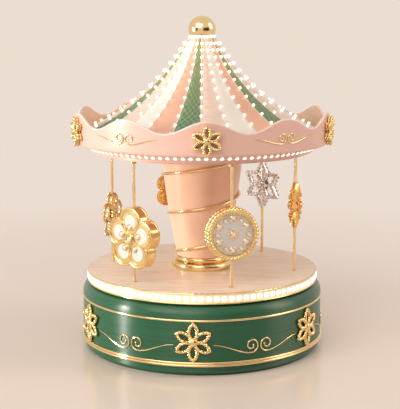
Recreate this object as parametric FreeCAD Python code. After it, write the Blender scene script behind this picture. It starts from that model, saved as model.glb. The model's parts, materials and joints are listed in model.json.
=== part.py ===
import FreeCAD, Part
import math
import os

Vector = FreeCAD.Vector
UP = Vector(0, 0, 1)
ORIGIN = Vector(0, 0, 0)

# A carousel music box. Lengths are in millimetres and angles in degrees. Bearings are measured at the
# vertical axis, from the front (minus Y) towards plus X. The floor is z = 0.

# Fits
seat_gap = 0.15
running_gap = 0.05
turning_gap = 0.6

# Base drum
felt_thickness = 1.0
felt_width = 3.6
base_wall = 8.0
foot_inset = 1.2
foot_round = 2.0
foot_height = 5.4
lower_band_height = 3.2
lower_band_projection = 1.3
upper_band_height = 1.4
upper_band_projection = 0.7
band_depth = 1.0
shoulder_height = 7.8
shoulder_round = 6.5
ledge_width = 5.0
ledge_height = 3.0

# Bottom cover and key
cover_lift = 1.0
cover_thickness = 2.0
well_radius = 22.0
well_wall = 1.6
well_depth = 11.2
roof_thickness = 1.5
cover_screw_count = 4
cover_screw_bearing = 45.0
screw_radius = 1.1
screw_head_radius = 2.1
screw_head_height = 1.2
key_loop_radius = 4.2
key_loop_hole = 2.2
key_loop_spread = 5.6
key_thickness = 2.2
key_hub_radius = 3.0
key_floor_clearance = 0.8
arbor_radius = 1.8

# Music movement; tooth heights are in modules, tooth widths in shares of the pitch
bedplate_thickness = 2.0
bedplate_margin = 1.2
bedplate_corner = 4.0
bedplate_half_depth = 21.0
roof_screw_angle = 48.0
barrel_radius = 14.0
barrel_height = 12.5
barrel_wall = 1.0
spring_turns = 6
spring_strip = 0.4
spring_core_radius = 3.4
crown_radius = 20.0
crown_teeth = 48
crown_face = 3.0
crown_tooth_height = 2.0
crown_web = 2.0
crown_clearance = 1.5
crown_pinion_teeth = 12
cylinder_length = 18.0
cylinder_radius = 6.4
cylinder_wall = 0.9
pin_radius = 0.25
pin_height = 0.45
pins_per_note = 5
arbor_wire_radius = 1.0
post_thickness = 1.5
axial_gap = 0.8
train_module = 0.55
tooth_addendum = 0.8
tooth_dedendum = 1.2
tooth_backlash = 0.12
tooth_taper = 3.0
train_wheel_teeth = 24
train_pinion_teeth = 10
train_face = 1.6
worm_wheel_teeth = 12
worm_starts = 2
worm_radius = 2.2
worm_length = 7.0
worm_addendum = 0.6
worm_thread_share = 0.13
fan_span = 5.0
fan_height = 2.6
fan_thickness = 0.5
comb_teeth = 18
comb_tooth_gap = 0.3
comb_tooth_length = 7.0
comb_tooth_thickness = 0.8
comb_body = 5.0
comb_tip_gap = 0.15
comb_screw_inset = 4.0

# Rotor bearing and drive
shaft_radius = 3.0
shaft_collar_radius = 6.0
shaft_collar_height = 6.5
shaft_reach = 6.0
bearing_plate_thickness = 2.5
bearing_plate_inset = 8.0
pillar_inset = 12.0
pillar_radius = 2.5
pillar_count = 4
pillar_bearing = 45.0
bush_wall = 1.4
bush_flange_width = 1.6
bush_flange_height = 1.0

# Platform
platform_thickness = 7.2
platform_setback = 3.0
trim_height = 1.2
trim_width = 2.4
flange_height = 1.3
edge_inlay = 0.6
band_width = 2.0
platform_lamp_count = 102
platform_lamp_radius = 1.65
platform_lamp_projection = 0.5

# Poles and the cam that lifts them
pole_count = 6
pole_circle = 62.0
pole_radius = 1.0
pole_first_bearing = 15.0
pole_stroke = 20.0
pole_bush_wall = 0.8
pole_bush_drop = 2.5
pole_head_clearance = 0.8
charm_height = 37.65
cam_high_bearing = 134.8
cam_wall = 2.4
cam_clearance = 0.6
follower_reach = 5.6
follower_radius = 2.0
follower_width = 2.6
follower_pin_radius = 0.9
follower_gap = 0.4

# Column
column_foot_radius = 14.8
column_top_radius = 27.1
column_swell = 1.1
column_wall = 2.2
column_floor = 2.0
foot_ring_lower_radius = 20.2
foot_ring_upper_radius = 18.3
foot_ring_lower_height = 4.8
foot_ring_upper_height = 3.8
foot_ring_round = 1.2
wire_radius = 0.9
wire_turns = 2.5
wire_start_gap = 1.6
wire_end_gap = 2.8
wire_start_bearing = 273.8
wire_samples = 12
cell_radius = 5.25
cell_length = 44.5
cell_count = 3
holder_wall = 1.2
holder_floor = 1.5

# Soffit and switch
canopy_gap = 77.5
soffit_thickness = 2.0
soffit_margin = 8.0
soffit_wall = 1.8
switch_distance = 36.0
switch_body_length = 12.0
switch_body_width = 6.0
switch_body_height = 4.0
switch_wall = 1.0
switch_travel = 3.0
switch_knob_length = 4.0
switch_knob_width = 2.4
switch_knob_drop = 2.0

# Valance
valance_lip_drop = 1.0
valance_lip_width = 2.2
valance_lip_height = 1.2
valance_cove_rise = 3.5
valance_cove_run = 3.5
valance_corner_rise = 6.7
valance_overhang = 3.4
valance_mean_height = 22.3
valance_flare = 0.6
valance_wave = 3.8
valance_wall = 1.8
valance_lobes = 10
valance_lobe_points = 12
valance_lamp_count = 100
valance_lamp_radius = 1.2
lamp_strip_width = 1.6
lamp_strip_height = 0.5

# Canopy
gore_count = 24
gore_colours = ("green", "blush", "white", "peach")
gore_first_seam = -2.5
gore_thickness = 1.2
canopy_top_radius = 8.4
canopy_rise = 73.1
canopy_rim_rise = 12.1
canopy_sag = 8.2
string_width = 1.0
string_height = 0.4
string_lamp_radius = 1.1
string_lamp_count = 12
string_lamp_start = 4.7
string_lamp_step = 4.9
string_lamp_growth = 1.075

# Top ornament
finial_radius = 8.9
finial_neck_radius = 3.2
collar_height = 1.6
collar_bulge = 0.5
finial_seat_inset = 0.2

# Applied ornament; the rim of an open petal is given in widths of its rope
rest_turn = 5.8
rosette_count = 6
rosette_petals = 6
rosette_tip = 12.4
rosette_petal_width = 7.2
rosette_rope = 1.1
rosette_depth = 2.2
rosette_hub = 2.8
valance_rosette_count = 5
valance_rosette_tip = 9.4
valance_rosette_petal_width = 5.4
valance_rosette_rope = 0.85
valance_rosette_depth = 3.6
valance_rosette_hub = 2.1
petal_rim_at_tip = 2.4
petal_rim_at_root = 1.6
petal_rim_at_side = 1.2
scroll_radius = 4.6
scroll_step = 1.8
scroll_wire = 1.3
scroll_relief = 0.7
scroll_tail_run = 24.0
scroll_tail_rise = 6.0
scroll_drop = 3.5
valance_scroll_radius = 3.4
valance_scroll_step = 1.3
valance_scroll_wire = 0.9
valance_scroll_tail_run = 15.0
valance_scroll_tail_rise = 3.6

# Charms
pearl_sink = 0.42
charm_thickness = 8.0
medallion_radius = 15.2
medallion_rope = 1.5
medallion_recess = 1.4
pearl_petals = 5
pearl_petal_radius = 9.2
pearl_petal_distance = 10.6
pearl_cell_radius = 7.2
pearl_cell_depth = 1.4
star_petals = 8
star_tip = 15.5
star_petal_width = 8.0
star_thickness = 6.0
star_hub = 4.5
flake_arms = 6
flake_tip = 17.0
flake_valley = 9.6
flake_bar = 2.2
flake_thickness = 5.0
gold_petals = 6
gold_petal_radius = 5.8
gold_petal_distance = 9.6
gold_thickness = 6.0
open_petals = 5
open_petal_radius = 6.6
open_petal_distance = 8.6
open_rim = 1.9
open_thickness = 5.0
charm_hub = 4.2

# Heights of the base, from the floor up
felt_top = felt_thickness
cover_bottom = felt_top + cover_lift
cover_top = cover_bottom + cover_thickness
ledge_top = cover_top + ledge_height
roof_bottom = cover_bottom + well_depth
bedplate_bottom = roof_bottom + roof_thickness
bedplate_top = bedplate_bottom + bedplate_thickness
barrel_top = bedplate_top + barrel_height
crown_bottom = barrel_top + crown_clearance
crown_top = crown_bottom + crown_web
bearing_bottom = crown_top + crown_clearance
bearing_top = bearing_bottom + bearing_plate_thickness
collar_bottom = bearing_top + bush_flange_height
platform_bottom = collar_bottom + shaft_collar_height
rim_top = platform_bottom - turning_gap
platform_top = platform_bottom + platform_thickness
lower_band_bottom = felt_top + foot_height
lower_band_top = lower_band_bottom + lower_band_height
upper_band_top = rim_top - shoulder_height
upper_band_bottom = upper_band_top - upper_band_height

# Radii of the base, from the poles outwards
cam_inner = pole_circle + follower_reach + follower_gap
cam_outer = cam_inner + cam_wall
drum_bore = cam_outer + cam_clearance
base_radius = drum_bore + base_wall
foot_radius = base_radius - foot_inset
groove_radius = base_radius - band_depth
platform_radius = base_radius - platform_setback

# Movement layout: the barrel stands on the rotor's axis and the cylinder lies along plus X
crown_pitch_z = crown_bottom - crown_tooth_height / 2
crown_pitch = 2 * math.pi * crown_radius / crown_teeth
crown_pinion_radius = crown_radius * crown_pinion_teeth / crown_teeth
cylinder_z = crown_pitch_z - crown_pinion_radius
near_post_x = crown_radius + crown_face / 2 + axial_gap
cylinder_x = near_post_x + post_thickness + axial_gap
cylinder_end_x = cylinder_x + cylinder_length
train_wheel_x = cylinder_end_x + axial_gap
worm_wheel_x = train_wheel_x + train_face + axial_gap
middle_post_x = train_wheel_x - axial_gap - post_thickness
far_post_x = worm_wheel_x + train_face + axial_gap
bedplate_end_x = far_post_x + post_thickness + bedplate_margin
train_wheel_radius = train_module * train_wheel_teeth / 2
train_pinion_radius = train_module * train_pinion_teeth / 2
worm_wheel_radius = train_module * worm_wheel_teeth / 2
train_pitch = math.pi * train_module
governor_y = -(train_wheel_radius + train_pinion_radius)
worm_x = worm_wheel_x + train_face / 2
worm_y = governor_y - worm_wheel_radius - worm_radius

# Heights and radii of the canopy
soffit_bottom = platform_top + canopy_gap
soffit_top = soffit_bottom + soffit_thickness
soffit_radius = pole_circle + soffit_margin
valance_bottom = soffit_top - valance_lip_drop
valance_corner_radius = base_radius + valance_overhang
valance_corner_z = valance_bottom + valance_corner_rise
valance_mean_z = valance_bottom + valance_mean_height
canopy_rim_z = soffit_bottom + canopy_rim_rise
canopy_top_z = soffit_bottom + canopy_rise
wall_slope = valance_flare / (valance_mean_z + valance_wave - valance_corner_z)
wall_lean = math.degrees(math.atan(wall_slope))
wall_inside_at_rim = valance_corner_radius + wall_slope * (canopy_rim_z - valance_corner_z) - valance_wall
canopy_rim_radius = wall_inside_at_rim - 2 * seat_gap


def bearing_point(radius, bearing, z=0.0):
    angle = math.radians(bearing)
    return Vector(radius * math.sin(angle), -radius * math.cos(angle), z)


def section(points):
    """A closed face in the XZ plane. A pair is a corner; four numbers are an arc's middle and its end.
    The first point may be left out of the list's end: a straight edge then closes the outline."""
    corners = [Vector(step[-2], 0, step[-1]) for step in points]
    edges = []
    for index, step in enumerate(points):
        start, end = corners[index - 1], corners[index]
        if len(step) == 4:
            edges.append(Part.ArcOfCircle(start, Vector(step[0], 0, step[1]), end).toShape())
        elif start != end:
            edges.append(Part.LineSegment(start, end).toShape())
    return Part.Face(Part.Wire(edges))


def turned(points):
    return section(points).revolve(ORIGIN, UP, 360)


def ring(inner, outer, bottom, top):
    return turned([(inner, bottom), (outer, bottom), (outer, top), (inner, top)])


def rod(radius, start, end):
    return Part.makeCylinder(radius, (end - start).Length, start, end - start)


def vertical_rod(radius, x, y, bottom, top):
    return rod(radius, Vector(x, y, bottom), Vector(x, y, top))


def at_bearing(shape, bearing):
    return shape.rotated(ORIGIN, UP, bearing)


def around(shape, count, first=0.0):
    return [at_bearing(shape, first + 360.0 * index / count) for index in range(count)]


def joined(shapes):
    return shapes[0].multiFuse(shapes[1:]).removeSplitter()


def save(name, *shapes):
    solids = [solid for shape in shapes for solid in shape.Solids]
    body = solids[0] if len(solids) == 1 else Part.makeCompound(solids)
    body.exportStep(f"parts/{name}.step")


# Base drum

cover_screw_circle = drum_bore - ledge_width / 2


def base_shell():
    shoulder_side = base_radius - shoulder_round
    shoulder_bottom = rim_top - shoulder_round
    shoulder_bend = shoulder_round * math.sqrt(0.5)
    bend = foot_round * math.sqrt(0.5)
    foot_middle = (foot_radius - foot_round + bend, felt_top + foot_round - bend)
    body = turned([
        (drum_bore, felt_top),
        (foot_radius - foot_round, felt_top),
        (*foot_middle, foot_radius, felt_top + foot_round),
        (foot_radius, lower_band_bottom),
        (groove_radius, lower_band_bottom),
        (groove_radius, lower_band_top),
        (base_radius, lower_band_top),
        (base_radius, upper_band_bottom),
        (groove_radius, upper_band_bottom),
        (groove_radius, upper_band_top),
        (base_radius, upper_band_top),
        (base_radius, shoulder_bottom),
        (shoulder_side + shoulder_bend, shoulder_bottom + shoulder_bend, shoulder_side, rim_top),
        (drum_bore, rim_top),
        (drum_bore, ledge_top),
        (drum_bore - ledge_width, ledge_top),
        (drum_bore - ledge_width, cover_top),
        (drum_bore, cover_top),
    ])
    hole = vertical_rod(screw_radius, 0, -cover_screw_circle, cover_top, ledge_top)
    return body.cut(Part.makeCompound(around(hole, cover_screw_count, cover_screw_bearing)))


def bead_band(bottom, height, projection, beads):
    """A gold band set in its groove, with one or more half-round beads on its face."""
    face_radius = base_radius + projection / 3
    step = height / beads
    points = [(groove_radius, bottom), (face_radius, bottom)]
    for index in range(beads):
        middle = bottom + step * (index + 0.5)
        points.append((base_radius + projection, middle, face_radius, middle + step / 2))
    points.append((groove_radius, bottom + height))
    return turned(points)


def lower_band():
    return bead_band(lower_band_bottom, lower_band_height, lower_band_projection, 2)


def upper_band():
    return bead_band(upper_band_bottom, upper_band_height, upper_band_projection, 1)


def felt_ring():
    outer = foot_radius - foot_round
    return ring(outer - felt_width, outer, 0, felt_top)


# Bottom cover, screws, key and arbor

post_y = bedplate_half_depth - bedplate_corner
post_places = [(bedplate_end_x - bedplate_corner, post_y), (near_post_x, -post_y)]
roof_screw_circle = (barrel_radius + well_radius) / 2
roof_screw_x = -roof_screw_circle * math.cos(math.radians(roof_screw_angle))
roof_screw_y = roof_screw_circle * math.sin(math.radians(roof_screw_angle))
roof_places = [(roof_screw_x, side * roof_screw_y) for side in (-1, 1)]
bedplate_start_x = roof_screw_x - bedplate_corner
bedplate_screw_depth = bedplate_thickness + roof_thickness
cover_head_top = cover_bottom + screw_head_height


def bottom_cover():
    well_outer = well_radius + well_wall
    body = turned([
        (well_radius, cover_bottom),
        (drum_bore - seat_gap, cover_bottom),
        (drum_bore - seat_gap, cover_top),
        (well_outer, cover_top),
        (well_outer, bedplate_bottom),
        (arbor_radius + seat_gap, bedplate_bottom),
        (arbor_radius + seat_gap, roof_bottom),
        (well_radius, roof_bottom),
    ])
    posts = [vertical_rod(pillar_radius, x, y, cover_top, bedplate_bottom) for x, y in post_places]
    body = joined([body] + posts)
    shank = vertical_rod(screw_radius, 0, -cover_screw_circle, cover_bottom, cover_top)
    sink = vertical_rod(screw_head_radius, 0, -cover_screw_circle, cover_bottom, cover_head_top)
    screw_holes = around(joined([shank, sink]), cover_screw_count, cover_screw_bearing)
    tapped = [
        vertical_rod(screw_radius, x, y, bedplate_top - bedplate_screw_depth, bedplate_bottom)
        for x, y in post_places + roof_places
    ]
    return body.cut(Part.makeCompound(screw_holes + tapped))


def screws():
    head = vertical_rod(screw_head_radius, 0, -cover_screw_circle, cover_bottom, cover_head_top)
    shank = vertical_rod(screw_radius, 0, -cover_screw_circle, cover_bottom, ledge_top)
    solids = around(joined([head, shank]), cover_screw_count, cover_screw_bearing)
    for x, y in post_places + roof_places:
        solids.append(headed_screw(x, y, bedplate_top, bedplate_screw_depth))
    for x in comb_screw_x:
        solids.append(headed_screw(x, comb_screw_y, comb_top, comb_top - bedplate_top))
    return solids


def headed_screw(x, y, seat, depth):
    head = vertical_rod(screw_head_radius, x, y, seat, seat + screw_head_height)
    return joined([head, vertical_rod(screw_radius, x, y, seat - depth, seat)])


def winding_key():
    """A butterfly key whose two loops hang in the well; its hub is bored for the arbor."""
    loop_z = key_floor_clearance + key_loop_radius
    across = Vector(0, key_thickness, 0)
    parts = [rod(key_hub_radius, Vector(0, 0, loop_z), Vector(0, 0, roof_bottom - turning_gap))]
    for side in (-1, 1):
        start = Vector(side * key_loop_spread, -key_thickness / 2, loop_z)
        parts.append(rod(key_loop_radius, start, start + across))
    body = joined(parts)
    holes = []
    for side in (-1, 1):
        start = Vector(side * key_loop_spread, -key_thickness, loop_z)
        holes.append(rod(key_loop_hole, start, start + across * 2))
    return body.cut(Part.makeCompound(holes + [winding_arbor()]))


def winding_arbor():
    bottom = key_floor_clearance + key_loop_radius + key_thickness
    return vertical_rod(arbor_radius, 0, 0, bottom, barrel_top + crown_clearance / 2)


# Music movement

def rounded_plate(x0, y0, x1, y1, corner, bottom, thickness):
    plate = Part.makeBox(x1 - x0, y1 - y0, thickness, Vector(x0, y0, bottom))
    upright = [edge for edge in plate.Edges if abs(edge.Vertexes[0].Z - edge.Vertexes[-1].Z) > thickness / 2]
    return plate.makeFillet(corner, upright)


def bearing_post(x, y, half_width, top):
    corner = Vector(x, y - half_width, bedplate_top)
    return Part.makeBox(post_thickness, 2 * half_width, top - bedplate_top, corner)


comb_top = cylinder_z + comb_tooth_thickness / 2
comb_tip_y = cylinder_radius + pin_height + comb_tip_gap
comb_root_y = comb_tip_y + comb_tooth_length
comb_end_y = comb_root_y + comb_body
comb_screw_y = (comb_root_y + comb_end_y) / 2
comb_screw_x = (cylinder_x + comb_screw_inset, cylinder_end_x - comb_screw_inset)
comb_bottom = comb_top - comb_tooth_thickness
bracket_top = cylinder_z + worm_length / 2 + axial_gap + post_thickness
bracket_y = worm_y - worm_radius - train_module - axial_gap - post_thickness


def bedplate():
    """The die-cast frame: a plate, three bearing posts, the comb's seat and the governor's bracket."""
    half = arbor_wire_radius + 2 * post_thickness
    axis_top = cylinder_z + half
    plate = rounded_plate(bedplate_start_x, -bedplate_half_depth, bedplate_end_x, bedplate_half_depth,
                          bedplate_corner, bedplate_bottom, bedplate_thickness)
    narrow = arbor_wire_radius + post_thickness
    far_width = (half + narrow - governor_y) / 2
    far_middle = (half - narrow + governor_y) / 2
    comb_seat = Part.makeBox(cylinder_length, comb_body, comb_bottom - bedplate_top,
                             Vector(cylinder_x, comb_root_y, bedplate_top))
    bracket_width = 2 * (worm_radius + post_thickness)
    bracket = Part.makeBox(bracket_width, post_thickness, bracket_top - bedplate_top,
                           Vector(worm_x - bracket_width / 2, bracket_y, bedplate_top))
    arm = Part.makeBox(bracket_width, worm_y - bracket_y + worm_radius, post_thickness,
                       Vector(worm_x - bracket_width / 2, bracket_y, bracket_top - post_thickness))
    body = joined([
        plate,
        bearing_post(near_post_x, 0, half, axis_top),
        bearing_post(far_post_x, far_middle, far_width, axis_top),
        bearing_post(middle_post_x, governor_y - half / 2, half / 2, axis_top),
        comb_seat,
        bracket,
        arm,
    ])
    bore = arbor_wire_radius + running_gap
    cuts = [
        rod(bore, Vector(near_post_x, 0, cylinder_z), Vector(bedplate_end_x, 0, cylinder_z)),
        rod(bore, Vector(middle_post_x, governor_y, cylinder_z),
            Vector(bedplate_end_x, governor_y, cylinder_z)),
        vertical_rod(bore, worm_x, worm_y, bedplate_bottom, bracket_top),
        vertical_rod(arbor_radius + seat_gap, 0, 0, bedplate_bottom, bedplate_top),
    ]
    for x, y in post_places + roof_places:
        cuts.append(vertical_rod(screw_radius, x, y, bedplate_bottom, bedplate_top))
    for x in comb_screw_x:
        cuts.append(vertical_rod(screw_radius, x, comb_screw_y, bedplate_top, comb_bottom))
    return body.cut(Part.makeCompound(cuts))


def spring_barrel():
    inner = barrel_radius - barrel_wall
    bore = arbor_radius + seat_gap
    return turned([
        (inner, bedplate_top),
        (barrel_radius, bedplate_top),
        (barrel_radius, barrel_top),
        (bore, barrel_top),
        (bore, barrel_top - barrel_wall),
        (inner, barrel_top - barrel_wall),
    ])


def mainspring():
    """A flat strip wound in half turns whose centres alternate about the arbor."""
    outer = barrel_radius - barrel_wall - 2 * seat_gap
    growth = (outer - spring_core_radius - spring_strip) / spring_turns
    bottom = bedplate_top + axial_gap
    height = barrel_top - barrel_wall - axial_gap - bottom
    halves = []
    radius = spring_core_radius
    centre = 0.0
    for index in range(2 * spring_turns):
        side = 1 if index % 2 == 0 else -1
        strip = Part.makeCylinder(radius + spring_strip, height, Vector(centre, 0, bottom), UP, 180)
        strip = strip.cut(Part.makeCylinder(radius, height, Vector(centre, 0, bottom), UP, 180))
        if side < 0:
            strip.rotate(Vector(centre, 0, bottom), UP, 180)
        halves.append(strip)
        centre += side * growth / 2
        radius += growth / 2
    return joined(halves)


def tooth_wheel(teeth, module, face):
    """A gear about plus X, from x = 0 to its face width, with tapered teeth and room for backlash."""
    pitch_radius = module * teeth / 2
    tip = pitch_radius + tooth_addendum * module
    root = pitch_radius - tooth_dedendum * module
    step = 2 * math.pi / teeth
    root_half = step / 4 * (1 - tooth_backlash)
    tip_half = root_half / tooth_taper
    corners = []
    for index in range(teeth):
        middle = step * index
        for radius, offset in ((root, -root_half), (tip, -tip_half), (tip, tip_half), (root, root_half)):
            angle = middle + offset
            corners.append(Vector(0, radius * math.cos(angle), radius * math.sin(angle)))
    return Part.Face(Part.makePolygon(corners + corners[:1])).extrude(Vector(face, 0, 0))


def meshed_wheel(teeth, module, face, x, y, z, tooth_angle):
    wheel = tooth_wheel(teeth, module, face)
    wheel.rotate(ORIGIN, Vector(1, 0, 0), tooth_angle)
    return wheel.translated(Vector(x, y, z))


def crown_wheel():
    """A hubbed disc whose teeth point down and mesh with the pinion under its rim."""
    outer = crown_radius + crown_face / 2
    inner = crown_radius - crown_face / 2
    hub_radius = shaft_radius + bush_wall
    disc = turned([
        (shaft_radius, crown_bottom),
        (outer, crown_bottom),
        (outer, crown_top),
        (shaft_radius, crown_top),
    ])
    hub = ring(shaft_radius, hub_radius, crown_top, bearing_bottom - turning_gap / 2)
    root_half = crown_pitch / 4 * (1 - tooth_backlash)
    tip_half = root_half / tooth_taper
    foot = crown_bottom - crown_tooth_height
    corners = [
        Vector(inner, -root_half, crown_bottom),
        Vector(inner, -tip_half, foot),
        Vector(inner, tip_half, foot),
        Vector(inner, root_half, crown_bottom),
    ]
    tooth = Part.Face(Part.makePolygon(corners + corners[:1])).extrude(Vector(crown_face, 0, 0))
    return joined([disc, hub] + around(tooth, crown_teeth))


def music_cylinder():
    bore = cylinder_radius - cylinder_wall
    start = Vector(cylinder_x, 0, cylinder_z)
    tube = rod(cylinder_radius, start, start + Vector(cylinder_length, 0, 0))
    tube = tube.cut(rod(bore, start, start + Vector(cylinder_length, 0, 0)))
    golden_angle = 137.5
    spacing = cylinder_length / comb_teeth
    pins = []
    for index in range(comb_teeth * pins_per_note):
        note = index % comb_teeth
        x = cylinder_x + spacing * (note + 0.5)
        foot = Vector(x, 0, cylinder_z + cylinder_radius - cylinder_wall / 2)
        pin = rod(pin_radius, foot, foot + Vector(0, 0, cylinder_wall / 2 + pin_height))
        pins.append(pin.rotated(start, Vector(1, 0, 0), golden_angle * index))
    return joined([tube] + pins)


def cylinder_arbor():
    """The cylinder's arbor with its crown pinion, two carrier discs and the train wheel."""
    module = 2 * crown_pinion_radius / crown_pinion_teeth
    bore = cylinder_radius - cylinder_wall
    first = crown_radius - crown_face / 2
    pinion_angle = 90 + 180.0 / crown_pinion_teeth
    along = Vector(cylinder_wall, 0, 0)
    discs = []
    for x in (cylinder_x, cylinder_end_x - cylinder_wall):
        centre = Vector(x, 0, cylinder_z)
        discs.append(rod(bore, centre, centre + along))
    start = Vector(first - axial_gap, 0, cylinder_z)
    end = Vector(far_post_x + post_thickness, 0, cylinder_z)
    return joined([
        rod(arbor_wire_radius, start, end),
        meshed_wheel(crown_pinion_teeth, module, crown_face, first, 0, cylinder_z, pinion_angle),
        meshed_wheel(train_wheel_teeth, train_module, train_face, train_wheel_x, 0, cylinder_z, 180),
    ] + discs)


def governor_wheel():
    """The second arbor: a pinion on the train wheel and a worm wheel on the governor's worm."""
    start = Vector(middle_post_x, governor_y, cylinder_z)
    end = Vector(far_post_x + post_thickness, governor_y, cylinder_z)
    pinion_angle = 180.0 / train_pinion_teeth
    return joined([
        rod(arbor_wire_radius, start, end),
        meshed_wheel(train_pinion_teeth, train_module, train_face, train_wheel_x, governor_y, cylinder_z,
                     pinion_angle),
        meshed_wheel(worm_wheel_teeth, train_module, train_face, worm_wheel_x, governor_y, cylinder_z, 180),
    ])


def governor_worm():
    """A two-start worm with a vaned fan above its bracket."""
    lead = worm_starts * train_pitch
    thread_half = train_pitch * worm_thread_share / 2
    core = worm_radius - train_module
    tip = worm_radius + worm_addendum * train_module
    start_z = cylinder_z - worm_length / 2
    inset = 2 * thread_half
    threads = []
    for index in range(worm_starts):
        path = Part.makeHelix(lead, worm_length - 2 * inset, worm_radius)
        corners = [
            Vector(core - thread_half, 0, -2 * thread_half),
            Vector(tip, 0, -thread_half),
            Vector(tip, 0, thread_half),
            Vector(core - thread_half, 0, 2 * thread_half),
        ]
        profile = Part.makePolygon(corners + corners[:1])
        thread = Part.Wire(path.Edges).makePipeShell([profile], True, True)
        thread.rotate(ORIGIN, UP, 360.0 * index / worm_starts)
        threads.append(thread.translated(Vector(0, 0, inset)))
    core_rod = vertical_rod(core, 0, 0, 0, worm_length)
    spindle_bottom = bedplate_bottom + running_gap - start_z
    fan_bottom = bracket_top + axial_gap / 2 - start_z
    spindle = vertical_rod(arbor_wire_radius, 0, 0, spindle_bottom, fan_bottom + fan_height)
    fan_corner = Vector(-fan_span, -fan_thickness / 2, fan_bottom)
    vane = Part.makeBox(2 * fan_span, fan_thickness, fan_height, fan_corner)
    body = joined([spindle, core_rod, vane] + threads)
    # A gap between threads faces the worm wheel at the height of its arbor.
    gap_rise = (worm_length / 2 - inset - train_pitch / 2) / lead * 360.0
    return body.rotated(ORIGIN, UP, 90 - gap_rise).translated(Vector(worm_x, worm_y, start_z))


def music_comb():
    body_corner = Vector(cylinder_x, comb_root_y, comb_bottom)
    body = Part.makeBox(cylinder_length, comb_body, comb_tooth_thickness, body_corner)
    spacing = cylinder_length / comb_teeth
    teeth = []
    for index in range(comb_teeth):
        corner = Vector(cylinder_x + spacing * index + comb_tooth_gap / 2, comb_tip_y, comb_bottom)
        teeth.append(Part.makeBox(spacing - comb_tooth_gap, comb_tooth_length, comb_tooth_thickness, corner))
    holes = [vertical_rod(screw_radius, x, comb_screw_y, comb_bottom, comb_top) for x in comb_screw_x]
    return joined([body] + teeth).cut(Part.makeCompound(holes))


# Rotor bearing, drive shaft and cam

def bearing_plate():
    bush_radius = shaft_radius + running_gap + bush_wall
    plate = ring(bush_radius, pole_circle - bearing_plate_inset, bearing_bottom, bearing_top)
    pillar = vertical_rod(pillar_radius, 0, -(pole_circle - pillar_inset), cover_top, bearing_bottom)
    return joined([plate] + around(pillar, pillar_count, pillar_bearing))


def centre_bush():
    bore = shaft_radius + running_gap
    outer = bore + bush_wall
    flange = outer + bush_flange_width
    return turned([
        (bore, bearing_bottom),
        (outer, bearing_bottom),
        (outer, bearing_top),
        (flange, bearing_top),
        (flange, collar_bottom),
        (bore, collar_bottom),
    ])


def drive_shaft():
    top = platform_top + shaft_reach
    return turned([
        (0, crown_bottom),
        (shaft_radius, crown_bottom),
        (shaft_radius, collar_bottom),
        (shaft_collar_radius, collar_bottom),
        (shaft_collar_radius, platform_bottom),
        (shaft_radius, platform_bottom),
        (shaft_radius, top),
        (0, top),
    ])


follower_mean_z = (ledge_top + platform_bottom) / 2
cam_tilt = math.degrees(math.atan(pole_stroke / 2 / (pole_circle + follower_reach - follower_width / 2)))


def cam_drum():
    """A thin drum whose top edge is cut on a slant, so that its height follows a cosine round the base."""
    tall = ring(cam_inner, cam_outer, ledge_top, platform_bottom)
    size = 4 * cam_outer
    cutter = Part.makeBox(size, size, size, Vector(-size / 2, -size / 2, 0))
    cutter.rotate(ORIGIN, Vector(1, 0, 0), -cam_tilt)
    cutter = at_bearing(cutter, cam_high_bearing)
    cutter.translate(Vector(0, 0, follower_mean_z - follower_radius))
    return tall.cut(cutter)


# Platform

lower_trim_top = platform_bottom + trim_height
flange_bottom = platform_top - flange_height
platform_core = platform_radius - trim_width
edge_radius = platform_radius - edge_inlay
edge_bottom = platform_top - edge_inlay
pole_bearings = [rest_turn + pole_first_bearing + 360.0 * index / pole_count for index in range(pole_count)]
pole_bush_radius = pole_radius + running_gap + pole_bush_wall


def pole_holes(bottom, top):
    places = [bearing_point(pole_circle, bearing, bottom) for bearing in pole_bearings]
    return [rod(pole_bush_radius, place, place + Vector(0, 0, top - bottom)) for place in places]


def platform():
    """A disc with a flange over the lit band and a rebate round its top edge."""
    disc = turned([
        (shaft_radius, platform_bottom),
        (platform_core, platform_bottom),
        (platform_core, flange_bottom),
        (platform_radius, flange_bottom),
        (platform_radius, edge_bottom),
        (edge_radius, edge_bottom),
        (edge_radius, platform_top),
        (shaft_radius, platform_top),
    ])
    return disc.cut(Part.makeCompound(pole_holes(platform_bottom, platform_top)))


def platform_trims():
    """A gold ring with a rounded face under the lit band, and a gold line let into the top edge."""
    face = platform_radius - trim_height / 2
    lower = turned([
        (platform_core, platform_bottom),
        (face, platform_bottom),
        (platform_radius, platform_bottom + trim_height / 2, face, lower_trim_top),
        (platform_core, lower_trim_top),
    ])
    bend = edge_inlay * math.sqrt(0.5)
    line = turned([
        (edge_radius, edge_bottom),
        (platform_radius, edge_bottom),
        (edge_radius + bend, edge_bottom + bend, edge_radius, platform_top),
    ])
    return [lower, line]


def platform_lights():
    outer = platform_core + band_width
    band = ring(platform_core, outer, lower_trim_top, flange_bottom)
    height = (lower_trim_top + flange_bottom) / 2
    start = Vector(0, -(outer - platform_lamp_projection), height)
    lamp = rod(platform_lamp_radius, start, start - Vector(0, 2 * platform_lamp_projection, 0))
    return joined([band] + around(lamp, platform_lamp_count))


def pole_bushes():
    bushes = []
    for bottom, top in ((platform_bottom, platform_top), (soffit_bottom - pole_bush_drop, soffit_top)):
        bush = ring(pole_radius + running_gap, pole_bush_radius, bottom, top)
        bushes += [bush.translated(bearing_point(pole_circle, bearing)) for bearing in pole_bearings]
    return bushes


# Column

column_bottom = platform_top
column_top = soffit_bottom
wire_bottom = platform_top + foot_ring_lower_height + foot_ring_upper_height + wire_start_gap
wire_pitch = (column_top - wire_end_gap - wire_bottom) / wire_turns


def column_profile(inset):
    """Radii at the foot, middle and top of the column's tapering arc, drawn in by an inset."""
    middle = (column_foot_radius + column_top_radius) / 2 + column_swell
    return column_foot_radius - inset, middle - inset, column_top_radius - inset


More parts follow.
